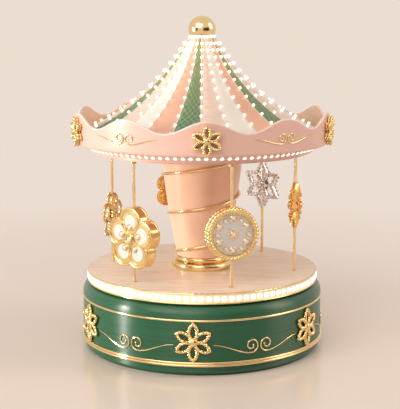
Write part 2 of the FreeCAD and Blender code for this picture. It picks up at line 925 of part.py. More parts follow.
def column_arc(inset):
    foot, middle, top = column_profile(inset)
    points = ((foot, column_bottom), (middle, (column_bottom + column_top) / 2), (top, column_top))
    return Part.ArcOfCircle(*[Vector(radius, 0, z) for radius, z in points])


def column():
    foot, middle, top = column_profile(0)
    inner_foot, inner_middle, inner_top = column_profile(column_wall)
    half = (column_bottom + column_top) / 2
    shell = turned([
        (inner_foot, column_bottom),
        (foot, column_bottom),
        (middle, half, top, column_top),
        (inner_top, column_top),
        (inner_middle, half, inner_foot, column_bottom),
    ])
    floor_bottom = platform_top + shaft_reach - column_floor
    floor_radius = inner_foot + column_wall / 2
    floor = ring(shaft_radius, floor_radius, floor_bottom, platform_top + shaft_reach)
    return joined([shell, floor])


def column_foot():
    lower_top = platform_top + foot_ring_lower_height
    upper_top = lower_top + foot_ring_upper_height
    lower_edge = foot_ring_lower_radius - foot_ring_round
    upper_edge = foot_ring_upper_radius - foot_ring_round
    rings = turned([
        (column_foot_radius - column_wall, platform_top),
        (lower_edge, platform_top),
        (foot_ring_lower_radius, platform_top + foot_ring_lower_height / 2, lower_edge, lower_top),
        (upper_edge, lower_top),
        (foot_ring_upper_radius, lower_top + foot_ring_upper_height / 2, upper_edge, upper_top),
        (column_foot_radius - column_wall, upper_top),
    ])
    return rings.cut(column_outside())


def column_outside():
    foot, middle, top = column_profile(0)
    half = (column_bottom + column_top) / 2
    return turned([
        (0, column_bottom),
        (foot, column_bottom),
        (middle, half, top, column_top),
        (0, column_top),
    ])


def biarc(start, start_way, end, end_way):
    """Two arcs that leave start and reach end along the given directions."""
    chord = end - start
    both = start_way + end_way
    square = both.dot(both) - 4
    linear = chord.dot(both)
    reach = (linear - math.sqrt(linear * linear - square * chord.dot(chord))) / square
    first = start + start_way * reach
    last = end - end_way * reach
    meeting = (first + last) * 0.5
    return [tangent_arc(start, first, meeting), tangent_arc(meeting, last, end)]


def tangent_arc(start, corner, end):
    chord_middle = (start + end) * 0.5
    half_chord = (end - start).Length / 2
    bisector = corner - chord_middle
    angle = math.atan2(bisector.Length, half_chord)
    bisector.normalize()
    crest = chord_middle + bisector * (half_chord * math.tan(angle / 2))
    return Part.ArcOfCircle(start, crest, end).toShape()


def wire_point(turn):
    arc = column_arc(-wire_radius)
    z = wire_bottom + wire_pitch * turn
    centre = arc.Center
    run = math.sqrt(arc.Radius ** 2 - (z - centre.z) ** 2)
    radius = centre.x - math.copysign(run, centre.x - column_foot_radius)
    return bearing_point(radius, wire_start_bearing + 360.0 * turn, z)


def wire_way(turn):
    step = 0.001
    way = wire_point(turn + step) - wire_point(turn - step)
    way.normalize()
    return way


def column_wire():
    """A gold wire wound round the column in quarter turns of two arcs each."""
    quarters = round(4 * wire_turns)
    edges = []
    for index in range(quarters):
        turn, following = index / 4, (index + 1) / 4
        edges += biarc(wire_point(turn), wire_way(turn), wire_point(following), wire_way(following))
    circle = Part.Wire([Part.Circle(wire_point(0), wire_way(0), wire_radius).toShape()])
    path = Part.Wire(edges)
    sweep = Part.BRepOffsetAPI.MakePipeShell(path)
    sweep.add(circle)
    sweep.build()
    sweep.makeSolid()
    points = path.discretize(Number=wire_samples * quarters)
    print("column wire: least gap between turns", round(least_turn_gap(points), 2), "mm")
    return sweep.shape()


def least_turn_gap(points):
    """The smallest clear distance between stretches of the wire over half a turn apart."""
    apart = len(points) // round(2 * wire_turns)
    gaps = []
    for index in range(len(points) - apart):
        gaps += [(points[index] - other).Length for other in points[index + apart:]]
    return min(gaps) - 2 * wire_radius


cell_circle = (cell_radius + holder_wall / 2) / math.sin(math.pi / cell_count)
holder_bottom = platform_top + shaft_reach


def battery_holder():
    radius = cell_circle + cell_radius + holder_wall
    body = rod(radius, Vector(0, 0, holder_bottom), Vector(0, 0, holder_bottom + holder_floor + cell_length))
    return body.cut(Part.makeCompound(batteries()))


def batteries():
    start = Vector(0, -cell_circle, holder_bottom + holder_floor)
    return around(rod(cell_radius, start, start + Vector(0, 0, cell_length)), cell_count, rest_turn)


# Soffit, switch and valance

def canopy_arc(lift):
    """The tent's meridian, moved along its own normal by a lift."""
    top = Vector(canopy_top_radius, 0, canopy_top_z)
    rim = Vector(canopy_rim_radius, 0, canopy_rim_z)
    along = rim - top
    along.normalize()
    inward = Vector(along.z, 0, -along.x)
    middle = (top + rim) * 0.5 + inward * canopy_sag
    arc = Part.ArcOfCircle(top, middle, rim)
    radius = arc.Radius - lift
    ways = [(point - arc.Center).normalize() for point in (top, middle, rim)]
    return Part.ArcOfCircle(*[arc.Center + way * radius for way in ways])


def arc_points(arc):
    middle = arc.value((arc.FirstParameter + arc.LastParameter) / 2)
    return arc.StartPoint, middle, arc.EndPoint


def canopy_section(lift_inner, lift_outer):
    start, middle, end = arc_points(canopy_arc(lift_outer))
    inner_start, inner_middle, inner_end = arc_points(canopy_arc(lift_inner))
    return [
        (inner_start.x, inner_start.z),
        (start.x, start.z),
        (middle.x, middle.z, end.x, end.z),
        (inner_end.x, inner_end.z),
        (inner_middle.x, inner_middle.z, inner_start.x, inner_start.z),
    ]


def canopy_inside_z(radius):
    arc = canopy_arc(-gore_thickness)
    return arc.Center.z - math.sqrt(arc.Radius ** 2 - (radius - arc.Center.x) ** 2)


switch_slot_length = switch_knob_length + switch_travel + 2 * seat_gap
switch_hollow_length = switch_body_length - 2 * switch_wall
switch_hollow_width = switch_body_width - 2 * switch_wall


def soffit():
    """A pan under the tent: a floor with the pole bushes and switch slot, and a wall up to the gores."""
    inner = soffit_radius - soffit_wall
    middle = soffit_radius - soffit_wall / 2
    opening = column_top_radius - column_wall
    body = turned([
        (opening, soffit_bottom),
        (soffit_radius, soffit_bottom),
        (soffit_radius, canopy_inside_z(soffit_radius)),
        (middle, canopy_inside_z(middle), inner, canopy_inside_z(inner)),
        (inner, soffit_top),
        (opening, soffit_top),
    ])
    slot_width = switch_knob_width + 2 * seat_gap
    slot = Part.makeBox(switch_slot_length, slot_width, soffit_thickness,
                        Vector(-switch_slot_length / 2, switch_distance - slot_width / 2, soffit_bottom))
    return body.cut(Part.makeCompound(pole_holes(soffit_bottom, soffit_top) + [slot]))


def switch_body():
    """A housing on the soffit whose hollow takes the sliding knob's plate."""
    corner = Vector(-switch_body_length / 2, switch_distance - switch_body_width / 2, soffit_top)
    body = Part.makeBox(switch_body_length, switch_body_width, switch_body_height, corner)
    inset = Vector(switch_wall, switch_wall, 0)
    hollow = Part.makeBox(switch_hollow_length, switch_hollow_width, switch_body_height - switch_wall,
                          corner + inset)
    return body.cut(hollow)


def switch_knob():
    """The knob hangs through the slot from a plate that slides inside the housing."""
    plate_length = switch_hollow_length - switch_travel - 4 * seat_gap
    plate_width = switch_hollow_width - 4 * seat_gap
    plate_bottom = soffit_top + 2 * seat_gap
    plate = Part.makeBox(plate_length, plate_width, switch_body_height / 3,
                         Vector(-plate_length / 2, switch_distance - plate_width / 2, plate_bottom))
    drop = plate_bottom - soffit_bottom + switch_knob_drop
    knob = Part.makeBox(switch_knob_length, switch_knob_width, drop,
                        Vector(-switch_knob_length / 2, switch_distance - switch_knob_width / 2,
                               soffit_bottom - switch_knob_drop))
    return joined([plate, knob]).translated(Vector(-switch_travel / 2, 0, 0))


lip_radius = soffit_radius + valance_lip_width
lip_top = valance_bottom + valance_lip_height
cove_z = lip_top + valance_cove_rise
cove_radius = lip_radius + valance_cove_run
valance_top_z = valance_mean_z + 2 * valance_wave
wall_top_radius = valance_corner_radius + wall_slope * (valance_top_z - valance_corner_z)
corner_round = valance_corner_z - cove_z


def valance_outline():
    """Corners of the outer face from the lip to the top."""
    shelf = valance_corner_radius - corner_round
    bend = corner_round * math.sqrt(0.5)
    return [
        (lip_radius, valance_bottom),
        (lip_radius, lip_top),
        (cove_radius, cove_z),
        (shelf, cove_z),
        (shelf + bend, valance_corner_z - bend, valance_corner_radius, valance_corner_z),
        (wall_top_radius, valance_top_z),
    ]


def valance_shell():
    outer = valance_outline()
    inner_corner = valance_corner_radius - valance_wall
    shelf_top = cove_z + valance_wall
    inner_shelf = valance_corner_radius - corner_round
    bend = (corner_round - valance_wall) * math.sqrt(0.5)
    return turned([(soffit_radius, valance_bottom)] + outer + [
        (wall_top_radius - valance_wall, valance_top_z),
        (inner_corner, valance_corner_z),
        (inner_shelf + bend, valance_corner_z - bend, inner_shelf, shelf_top),
        (soffit_radius, shelf_top),
    ])


def wave_edge(radius):
    """A closed curve round the axis whose height waves once for each lobe."""
    points = []
    count = valance_lobe_points * valance_lobes
    for index in range(count):
        bearing = 360.0 * index / count
        height = valance_mean_z + valance_wave * math.cos(math.radians(valance_lobes * bearing))
        points.append(bearing_point(radius, bearing, height))
    curve = Part.BSplineCurve()
    curve.interpolate(Points=points, PeriodicFlag=True)
    return curve.toShape()


def wave_cutter():
    """Everything above the wavy top edge: a ruled wave between two circles, closed off above."""
    inner_radius = soffit_radius
    outer_radius = wall_top_radius + 2 * valance_wall
    top = valance_top_z + valance_wall
    inner, outer = wave_edge(inner_radius), wave_edge(outer_radius)
    circles = []
    for radius in (inner_radius, outer_radius):
        circles.append(Part.Circle(Vector(0, 0, top), UP, radius).toShape().rotated(ORIGIN, UP, -90))
    lid = Part.Face([Part.Wire([circles[1]]), Part.Wire([circles[0]])])
    faces = [
        Part.makeRuledSurface(inner, outer),
        Part.makeRuledSurface(outer, circles[1]),
        Part.makeRuledSurface(inner, circles[0]),
        lid,
    ]
    shell = Part.makeShell([face for part in faces for face in part.Faces])
    shell.sewShape()
    return Part.makeSolid(shell)


def valance():
    return at_bearing(valance_shell().cut(wave_cutter()), rest_turn)


def cove_point(share):
    """A point on the sloping lamp face between the lip and the shelf, and the face's outward normal."""
    start = Vector(lip_radius, 0, lip_top)
    way = Vector(valance_cove_run, 0, valance_cove_rise)
    normal = Vector(valance_cove_rise, 0, -valance_cove_run)
    normal.normalize()
    return start + way * share, normal


def valance_lights():
    """A ring of globe lamps on a narrow strip along the sloping face under the valance."""
    middle, normal = cove_point(0.5)
    along = Vector(-normal.z, 0, normal.x)
    edge = along * (lamp_strip_width / 2)
    rise = normal * lamp_strip_height
    corners = [middle - edge, middle - edge + rise, middle + edge + rise, middle + edge]
    strip = turned([(point.x, point.z) for point in corners])
    centre = middle + normal * (valance_lamp_radius + running_gap)
    lamp = Part.makeSphere(valance_lamp_radius, centre)
    return joined([strip] + around(lamp, valance_lamp_count, rest_turn))


# Tent of gores and light strings

def gore():
    angle = 360.0 / gore_count
    panel = section(canopy_section(-gore_thickness, 0)).revolve(ORIGIN, UP, angle)
    half = string_width / 2
    span = canopy_rim_radius + 2 * gore_thickness
    height = canopy_top_z - canopy_rim_z + 4 * gore_thickness
    slot = Part.makeBox(span, string_width, height, Vector(0, -half, canopy_rim_z - 2 * gore_thickness))
    return panel.cut(Part.makeCompound([slot, at_bearing(slot, angle)]))


def gores():
    """Six panels of each colour; the first seam has green on its left and blush on its right."""
    panel = at_bearing(gore(), -90)
    angle = 360.0 / gore_count
    colours = {colour: [] for colour in gore_colours}
    for index in range(gore_count):
        colour = gore_colours[(index + 1) % len(gore_colours)]
        colours[colour].append(at_bearing(panel, rest_turn + gore_first_seam + angle * index))
    return colours


def light_strings():
    """Along each seam, a rib between two gores with globe lamps whose spacing grows downwards."""
    rib = section(canopy_section(-gore_thickness, string_height)).extrude(Vector(0, string_width, 0))
    rib.translate(Vector(0, -string_width / 2, 0))
    arc = canopy_arc(string_lamp_radius + running_gap)
    lamps = []
    distance = string_lamp_start
    step = string_lamp_step
    for index in range(string_lamp_count):
        angle = arc.FirstParameter + distance / arc.Radius
        lamps.append(Part.makeSphere(string_lamp_radius, arc.value(angle)))
        distance += step
        step *= string_lamp_growth
    string = at_bearing(joined([rib] + lamps), -90)
    return around(string, gore_count, rest_turn + gore_first_seam)


def finial_collar():
    """A lit ring on the tent's top that the ball's neck passes through."""
    bottom = canopy_top_z
    top = bottom + collar_height
    bulge = canopy_top_radius + collar_bulge
    return turned([
        (finial_neck_radius, bottom),
        (canopy_top_radius, bottom),
        (bulge, (bottom + top) / 2, canopy_top_radius, top),
        (finial_neck_radius, top),
    ])


def finial():
    """A polished ball flattened onto the collar, with a neck down into the tent."""
    seat = canopy_top_z + collar_height
    seat_radius = canopy_top_radius - finial_seat_inset
    centre = seat + math.sqrt(finial_radius ** 2 - seat_radius ** 2)
    return turned([
        (0, canopy_top_z - collar_height),
        (finial_neck_radius, canopy_top_z - collar_height),
        (finial_neck_radius, seat),
        (seat_radius, seat),
        (finial_radius, centre, 0, centre + finial_radius),
    ])


# Applied ornament, drawn in the XZ plane and facing the front

def petal_face(tip, root, width):
    """A pointed petal between two arcs, along plus Z."""
    base, point = Vector(0, 0, root), Vector(0, 0, tip)
    middle = (tip + root) / 2
    sides = [Part.ArcOfCircle(base, Vector(side * width / 2, 0, middle), point).toShape() for side in (1, -1)]
    return Part.Face(Part.Wire([sides[0], sides[1].reversed()]))


def outward(face, depth):
    return face.extrude(Vector(0, -depth, 0))


def spun(shape, count, first=0.0):
    return [shape.rotated(ORIGIN, Vector(0, 1, 0), first + 360.0 * index / count) for index in range(count)]


def disc(radius, depth, x=0.0, z=0.0):
    return rod(radius, Vector(x, 0, z), Vector(x, -depth, z))


def rosette(tip, width, rope, hub, depth):
    """Open rope-edged petals round a domed boss, with stock behind its face for fitting to a curved wall."""
    stock = rope
    outer = petal_face(tip, hub / 2, width)
    hole = petal_face(tip - petal_rim_at_tip * rope, hub / 2 + petal_rim_at_root * rope,
                      width - 2 * petal_rim_at_side * rope)
    petal = outward(outer, depth + stock).cut(outward(hole, depth + stock))
    boss = disc(hub, depth + stock)
    dome_radius = math.hypot(hub, depth / 2)
    dome = Part.makeSphere(dome_radius, Vector(0, depth / 2 - (depth + stock), 0))
    dome = dome.common(disc(hub, depth + stock + hub))
    return joined(spun(petal, rosette_petals) + [boss, dome]).translated(Vector(0, stock, 0))


def base_rosettes():
    height = (lower_band_top + upper_band_bottom) / 2
    piece = rosette(rosette_tip, rosette_petal_width, rosette_rope, rosette_hub, rosette_depth)
    piece.translate(Vector(0, -base_radius, height))
    wall = rod(base_radius, Vector(0, 0, felt_top), Vector(0, 0, rim_top))
    piece = piece.cut(Part.makeCompound([wall, lower_band(), upper_band()]))
    return around(piece, rosette_count)


wall_middle_z = (valance_corner_z + valance_mean_z) / 2
wall_middle_radius = valance_corner_radius + wall_slope * (wall_middle_z - valance_corner_z)


def valance_rosettes():
    piece = rosette(valance_rosette_tip, valance_rosette_petal_width, valance_rosette_rope,
                    valance_rosette_hub, valance_rosette_depth)
    piece.rotate(ORIGIN, Vector(1, 0, 0), wall_lean)
    piece.translate(Vector(0, -wall_middle_radius, wall_middle_z))
    return around(piece.cut(valance_shell()), valance_rosette_count, rest_turn)


def arc_band(centre_x, centre_z, radius, width, first, sweep):
    """A flat curved strip: part of a ring in the XZ plane, from a first angle through a sweep."""
    outer = radius + width / 2
    inner = max(radius - width / 2, 0)
    band = Part.makeCylinder(outer, 1, ORIGIN, UP, sweep)
    if inner > 0:
        band = band.cut(Part.makeCylinder(inner, 1, ORIGIN, UP, sweep))
    band.rotate(ORIGIN, UP, first)
    band.rotate(ORIGIN, Vector(1, 0, 0), 90)
    return band.translated(Vector(centre_x, 0, centre_z))


def scroll(radius, step, wire, run, rise):
    """Two mirrored volutes side by side, each with a tail that sweeps out and up in an S."""
    centre = radius + wire / 2
    bands = []
    size = radius
    turn = 0
    while size > step / 2:
        first = 90 if turn % 2 == 0 else 270
        bands.append(arc_band(centre, 0 if turn % 2 == 0 else step, size, wire, first, 180))
        size -= step
        turn += 1
    sweep = 2 * math.degrees(math.atan(rise / run))
    tail = run / math.sin(math.radians(sweep)) / 2
    bands.append(arc_band(centre, tail - radius, tail, wire, 270, sweep))
    end_x = centre + run
    end_z = rise - radius
    bands.append(arc_band(end_x, end_z - tail, tail, wire, 90, sweep))
    half = joined(bands)
    return joined([half, half.mirror(ORIGIN, Vector(1, 0, 0))])


def base_scrolls():
    height = (lower_band_top + upper_band_bottom) / 2 - scroll_drop
    flat = scroll(scroll_radius, scroll_step, scroll_wire, scroll_tail_run, scroll_tail_rise)
    deep = Part.makeCompound([outward(face, base_radius) for face in front_faces(flat)])
    deep.translate(Vector(0, 0, height))
    skin = ring(base_radius, base_radius + scroll_relief, lower_band_top, upper_band_bottom)
    return around(skin.common(joined(deep.Solids)), rosette_count, 180.0 / rosette_count)


def front_faces(flat):
    low = min(face.CenterOfMass.y for face in flat.Faces)
    return [face for face in flat.Faces if abs(face.CenterOfMass.y - low) < seat_gap]


def valance_scrolls():
    flat = scroll(valance_scroll_radius, valance_scroll_step, valance_scroll_wire, valance_scroll_tail_run,
                  valance_scroll_tail_rise)
    deep = Part.makeCompound([outward(face, 2 * valance_corner_radius) for face in front_faces(flat)])
    deep.translate(Vector(0, 0, wall_middle_z))
    corner = (valance_corner_radius, valance_corner_z)
    top = (wall_top_radius, valance_top_z)
    relief = scroll_relief
    skin = turned([corner, (corner[0] + relief, corner[1]), (top[0] + relief, top[1]), top])
    count = valance_rosette_count
    return around(skin.common(joined(deep.Solids)), count, rest_turn + 180.0 / count)


# Poles and charms, built about an upright pole on the axis and facing the front

pole_mean_top = canopy_inside_z(pole_circle + pole_radius) - pole_head_clearance - pole_stroke / 2
charm_z = platform_top + charm_height


def pole():
    """A rod with a short radial pin and roller at its foot that follow the cam's edge."""
    foot = follower_mean_z - follower_radius
    upright = vertical_rod(pole_radius, 0, 0, foot, pole_mean_top)
    pin_end = Vector(0, -follower_reach, follower_mean_z)
    pin = rod(follower_pin_radius, Vector(0, 0, follower_mean_z), pin_end)
    roller = rod(follower_radius, pin_end, pin_end + Vector(0, follower_width, 0))
    return joined([upright, pin, roller])


def bored(charm):
    hole = vertical_rod(pole_radius, 0, 0, platform_bottom, soffit_bottom)
    return charm.translated(Vector(0, 0, charm_z)).cut(hole)


def blossom(petals, petal_radius, distance, thickness):
    """Round petals about a hub, centred on the pole."""
    petal = disc(petal_radius, thickness, 0, distance)
    shapes = spun(petal, petals) + [disc(distance, thickness)]
    return joined(shapes).translated(Vector(0, thickness / 2, 0))


def hub_dome(radius, thickness):
    """A low boss that stands out of both faces."""
    return disc(radius, thickness + radius / 2).translated(Vector(0, thickness / 2 + radius / 4, 0))


def medallion():
    half = charm_thickness / 2
    drum = disc(medallion_radius, charm_thickness).translated(Vector(0, half, 0))
    ropes = []
    for side in (-1, 1):
        place = Vector(0, side * (half - medallion_rope), 0)
        ropes.append(Part.makeTorus(medallion_radius, medallion_rope, place, Vector(0, 1, 0)))
    recess = disc(medallion_radius - medallion_rope, medallion_recess)
    front = recess.translated(Vector(0, medallion_recess - half, 0))
    back = recess.translated(Vector(0, half, 0))
    return bored(joined([drum] + ropes).cut(Part.makeCompound([front, back])))


def medallion_pearls():
    """A pearl disc in each recess, a little below the rim."""
    half = charm_thickness / 2
    depth = medallion_recess - pearl_sink
    pearl = disc(medallion_radius - medallion_rope, depth)
    front = pearl.translated(Vector(0, medallion_recess - half, charm_z))
    back = pearl.translated(Vector(0, half - medallion_recess + depth, charm_z))
    return [front, back]


def pearl_cells(depth, drop):
    """Round petal cells on both faces, sunk by a drop."""
    half = charm_thickness / 2
    cell = disc(pearl_cell_radius, depth, 0, pearl_petal_distance)
    front = cell.translated(Vector(0, drop + depth - half, 0))
    back = cell.translated(Vector(0, half - drop, 0))
    return spun(front, pearl_petals) + spun(back, pearl_petals)


def pearl_blossom():
    body = blossom(pearl_petals, pearl_petal_radius, pearl_petal_distance, charm_thickness)
    body = body.cut(Part.makeCompound(pearl_cells(pearl_cell_depth, 0)))
    return bored(joined([body, hub_dome(charm_hub, charm_thickness)]))


def pearl_inlays():
    hub = hub_dome(charm_hub, 2 * charm_thickness)
    cells = pearl_cells(pearl_cell_depth - pearl_sink, pearl_sink)
    return [cell.cut(hub).translated(Vector(0, 0, charm_z)) for cell in cells]


def star_flower():
    petal = outward(petal_face(star_tip, 0, star_petal_width), star_thickness)
    body = joined(spun(petal, star_petals)).translated(Vector(0, star_thickness / 2, 0))
    return bored(joined([body, hub_dome(star_hub, star_thickness)]))


def snowflake():
    """A six-pointed star of flat bars with an open rhomb in each arm."""
    step = math.pi / flake_arms
    corners = []
    for index in range(2 * flake_arms):
        reach = flake_tip if index % 2 == 0 else flake_valley
        corners.append(Vector(reach * math.sin(step * index), 0, reach * math.cos(step * index)))
    star = outward(Part.Face(Part.makePolygon(corners + corners[:1])), flake_thickness)
    near, far = charm_hub, flake_tip - 2 * flake_bar
    middle = (near + far) / 2
    width = middle * math.tan(step) - flake_bar / 2
    rhomb = [Vector(0, 0, near), Vector(width, 0, middle), Vector(0, 0, far), Vector(-width, 0, middle)]
    opening = outward(Part.Face(Part.makePolygon(rhomb + rhomb[:1])), flake_thickness)
    body = star.cut(Part.makeCompound(spun(opening, flake_arms)))
    body = body.translated(Vector(0, flake_thickness / 2, 0))
    spine = vertical_rod(pole_radius + flake_bar / 2, 0, 0, -flake_tip + flake_bar, flake_tip - flake_bar)
    return bored(joined([body, spine, hub_dome(charm_hub, flake_thickness)]))


def gold_blossom():
    body = blossom(gold_petals, gold_petal_radius, gold_petal_distance, gold_thickness)
    return bored(joined([body, hub_dome(charm_hub, gold_thickness)]))


def open_blossom():
    """Round petals cut right through, leaving rims about a hub, with a sleeve for the pole."""
    body = blossom(open_petals, open_petal_radius, open_petal_distance, open_thickness)
    hole = disc(open_petal_radius - open_rim, 2 * open_thickness, 0, open_petal_distance)
    holes = [piece.translated(Vector(0, open_thickness, 0)) for piece in spun(hole, open_petals)]
    body = body.cut(Part.makeCompound(holes))
    reach = open_petal_distance + open_petal_radius - open_rim
    sleeve = vertical_rod(pole_radius + open_rim / 2, 0, 0, -open_petal_distance, reach)
    return bored(joined([body, sleeve, hub_dome(charm_hub, open_thickness)]))


def pole_rest(index):
    """How far a pole rides above the middle of its stroke at rest."""
    return pole_stroke / 2 * math.cos(math.radians(pole_bearings[index] - cam_high_bearing))


def on_pole(index, shapes):
    """Pieces of a pole carried to its bearing and lifted to its height at rest."""
    move = bearing_point(pole_circle, pole_bearings[index], pole_rest(index))
    return [at_bearing(shape, pole_bearings[index]).translated(move) for shape in shapes]


charms = [
    {"medallion": [medallion()], "medallion_pearls": medallion_pearls()},
    {"star_flower": [star_flower()]},
    {"snowflake": [snowflake()]},
    {"gold_blossom": [gold_blossom()]},
    {"open_blossom": [open_blossom()]},
    {"pearl_blossom": [pearl_blossom()], "pearl_inlays": pearl_inlays()},
]

os.makedirs("parts", exist_ok=True)

save("base_shell", base_shell())
save("lower_band", lower_band())
save("upper_band", upper_band())
save("felt_ring", felt_ring())
save("base_rosettes", *base_rosettes())
save("base_scrolls", *base_scrolls())
save("bottom_cover", bottom_cover())
save("screws", *screws())
save("winding_key", winding_key())
save("winding_arbor", winding_arbor())
save("bedplate", bedplate())
save("spring_barrel", spring_barrel())
save("mainspring", mainspring())
save("crown_wheel", crown_wheel())
save("music_cylinder", music_cylinder())
save("cylinder_arbor", cylinder_arbor())
save("governor_wheel", governor_wheel())
save("governor_worm", governor_worm())
save("music_comb", music_comb())
save("bearing_plate", bearing_plate())
save("centre_bush", centre_bush())
save("drive_shaft", drive_shaft())
save("cam_drum", cam_drum())
save("platform", platform())
save("platform_trims", *platform_trims())
save("platform_lights", platform_lights())
save("pole_bushes", *pole_bushes())
save("column", column())
save("column_foot", column_foot())
save("column_wire", column_wire())
save("battery_holder", battery_holder())
save("batteries", *batteries())
save("soffit", soffit())
save("switch_body", switch_body())
save("switch_knob", switch_knob())
save("valance", valance())
save("valance_lights", valance_lights())
save("valance_rosettes", *valance_rosettes())
save("valance_scrolls", *valance_scrolls())
for colour, panels in gores().items():
    save(f"gores_{colour}", *panels)
save("light_strings", *light_strings())
save("finial_collar", finial_collar())
save("finial", finial())
for index, pieces in enumerate(charms):
    save(f"pole_{index + 1}", *on_pole(index, [pole()]))
    for name, shapes in pieces.items():
        save(name, *on_pole(index, shapes))
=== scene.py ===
import json
import math

import bmesh
import bpy
import numpy as np
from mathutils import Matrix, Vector


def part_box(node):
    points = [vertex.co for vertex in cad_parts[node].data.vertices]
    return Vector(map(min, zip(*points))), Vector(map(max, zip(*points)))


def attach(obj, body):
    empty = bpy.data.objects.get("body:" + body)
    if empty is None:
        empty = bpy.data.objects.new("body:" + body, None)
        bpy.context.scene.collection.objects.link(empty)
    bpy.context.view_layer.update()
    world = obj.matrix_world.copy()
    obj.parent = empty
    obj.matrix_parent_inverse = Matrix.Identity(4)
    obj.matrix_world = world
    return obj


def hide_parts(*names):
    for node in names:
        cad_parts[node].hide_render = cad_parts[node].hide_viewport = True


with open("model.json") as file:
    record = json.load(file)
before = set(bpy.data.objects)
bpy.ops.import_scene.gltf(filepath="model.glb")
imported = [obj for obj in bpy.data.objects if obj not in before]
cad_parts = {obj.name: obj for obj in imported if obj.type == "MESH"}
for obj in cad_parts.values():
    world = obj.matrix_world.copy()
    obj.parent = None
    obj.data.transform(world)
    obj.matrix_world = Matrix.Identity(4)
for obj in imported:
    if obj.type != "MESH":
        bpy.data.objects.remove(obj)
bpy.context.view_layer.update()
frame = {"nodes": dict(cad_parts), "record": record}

# A carousel music box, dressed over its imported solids. Sizes are millimetres until a piece is made, when
# they become metres. The stage, lights and camera are in metres. Bearings are degrees round the vertical
# axis, from the front (minus Y) towards plus X.

MM = 0.001


def box_mm(node):
    low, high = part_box(node)
    return low / MM, high / MM


def heights_mm(node):
    return [corner.z for corner in box_mm(node)]


# Base and platform
upper_band_projection = 0.7
base_radius = box_mm("upper_band")[1].x - upper_band_projection
base_field_middle = (heights_mm("lower_band")[1] + heights_mm("upper_band")[0]) / 2
base_rosette_count = 6
base_rosette = dict(tip=12.4, root=1.4, width=7.2, rope=1.1, hub=2.8, depth=2.2)
base_scroll = dict(radius=4.6, run=24.0, rise=6.0, wire=0.5)
base_scroll_drop = 3.5
rosette_petals = 6
platform_top = heights_mm("platform")[1]
platform_trim_width = 2.4
lamp_band_inner = box_mm("platform")[1].x - platform_trim_width
lamp_band_width = 2.0
lamp_band_low, lamp_band_high = heights_mm("platform_lights")
platform_lamp_count = 102
platform_lamp_half = 1.55
platform_lamp_projection = 0.55
platform_lamp_squareness = 0.7

# Column, with its radii at the foot, the middle and the top
column_low, column_high = heights_mm("column")
column_radii = (14.8, 22.05, 27.1)
wire_low, wire_high = heights_mm("column_wire")
wire_radius = 0.9
wire_turns = 2.5
wire_start_bearing = 273.8

# Valance
rest_turn = 5.8
soffit_radius = box_mm("soffit")[1].x
valance_bottom, valance_high = heights_mm("valance")
valance_lip_width = 2.2
valance_lip_height = 1.2
lip_radius = soffit_radius + valance_lip_width
lip_top = valance_bottom + valance_lip_height
valance_cove = 3.5
valance_cove_z = lip_top + valance_cove
valance_corner_rise = 6.7
valance_corner_z = valance_bottom + valance_corner_rise
valance_corner_round = valance_corner_z - valance_cove_z
valance_corner_radius = 82.4
valance_wave = 3.8
valance_mean_z = valance_high - valance_wave
valance_field_middle = (valance_corner_z + valance_mean_z) / 2
valance_flare = 0.6
valance_slope = valance_flare / (valance_high - valance_corner_z)
valance_wall = 1.8
valance_lobes = 10
valance_lamp_count = 100
valance_lamp_radius = 1.2
valance_lamp_height = 0.5
valance_lamp_seat = 0.3
valance_rosette_count = 5
valance_rosette = dict(tip=9.4, root=1.1, width=5.4, rope=0.85, hub=2.1, depth=3.6)
valance_scroll = dict(radius=3.4, run=19.0, rise=3.6, wire=0.4)

# Canopy
canopy_top_radius = 8.4
canopy_top_z = heights_mm("gores_white")[1]
canopy_rim_radius = 80.4
canopy_rim_z = 141.0
canopy_sag = 8.2
gore_count = 24
gore_angle = 360.0 / gore_count
gore_colours = ("green", "blush", "white", "peach")
gore_seam_offset = 2.5
gore_first_seam = rest_turn - gore_seam_offset
gore_thickness = 1.2
gore_fullness = 0.45
gore_grid = (28, 9)
quilt_grid = (120, 33)
quilt_depth = 0.65
quilt_diamonds = 3.5
quilt_pitch = 5.6
quilt_stitch = 0.45
seam_width = 1.0
string_lamp_radius = 0.95
string_lamp_socket = 0.3
string_lamp_lift = 0.1
string_lamp_count = 12
string_lamp_first = 4.7
string_lamp_step = 4.9
string_lamp_growth = 1.075

# Charms
charm_height = 37.65
charm_mean_z = platform_top + charm_height
pole_count = 6
pole_circle = 62.0
pole_bearing_offset = 15.0
pole_first_bearing = rest_turn + pole_bearing_offset


# Mesh building. A shape is a pair: its points and its faces.

OUT = (0.0, -1.0, 0.0)
weld_distance = 1e-7
crease_angle = 40.0


def unit(vectors):
    return vectors / np.linalg.norm(vectors, axis=-1, keepdims=True)


def circle(count):
    return 2 * math.pi * np.arange(count) / count


def arc(start, stop, count):
    return np.radians(np.linspace(start, stop, count))


def turns(count, first=0.0):
    """Degrees of evenly spaced places round a full turn."""
    return [first + 360.0 * index / count for index in range(count)]


def grid(rows, columns, wrap_rows=False, wrap_columns=False):
    """Quads over points that are listed row by row."""
    faces = []
    for row in range(rows if wrap_rows else rows - 1):
        for column in range(columns if wrap_columns else columns - 1):
            below, right = (row + 1) % rows, (column + 1) % columns
            faces.append((row * columns + column, row * columns + right, below * columns + right,
                          below * columns + column))
    return faces


def moved(points, x, y, z):
    return np.asarray(points, float) + np.array([x, y, z])


def turned(points, bearing):
    """Points turned about the upright axis."""
    angle = math.radians(bearing)
    cosine, sine = math.cos(angle), math.sin(angle)
    x, y, z = np.asarray(points, float).T
    return np.column_stack([x * cosine - y * sine, x * sine + y * cosine, z])


def spun(points, angle):
    """Points turned in the front plane, clockwise as seen from the front."""
    cosine, sine = math.cos(math.radians(angle)), math.sin(math.radians(angle))
    x, y, z = np.asarray(points, float).T
    return np.column_stack([x * cosine + z * sine, y, z * cosine - x * sine])


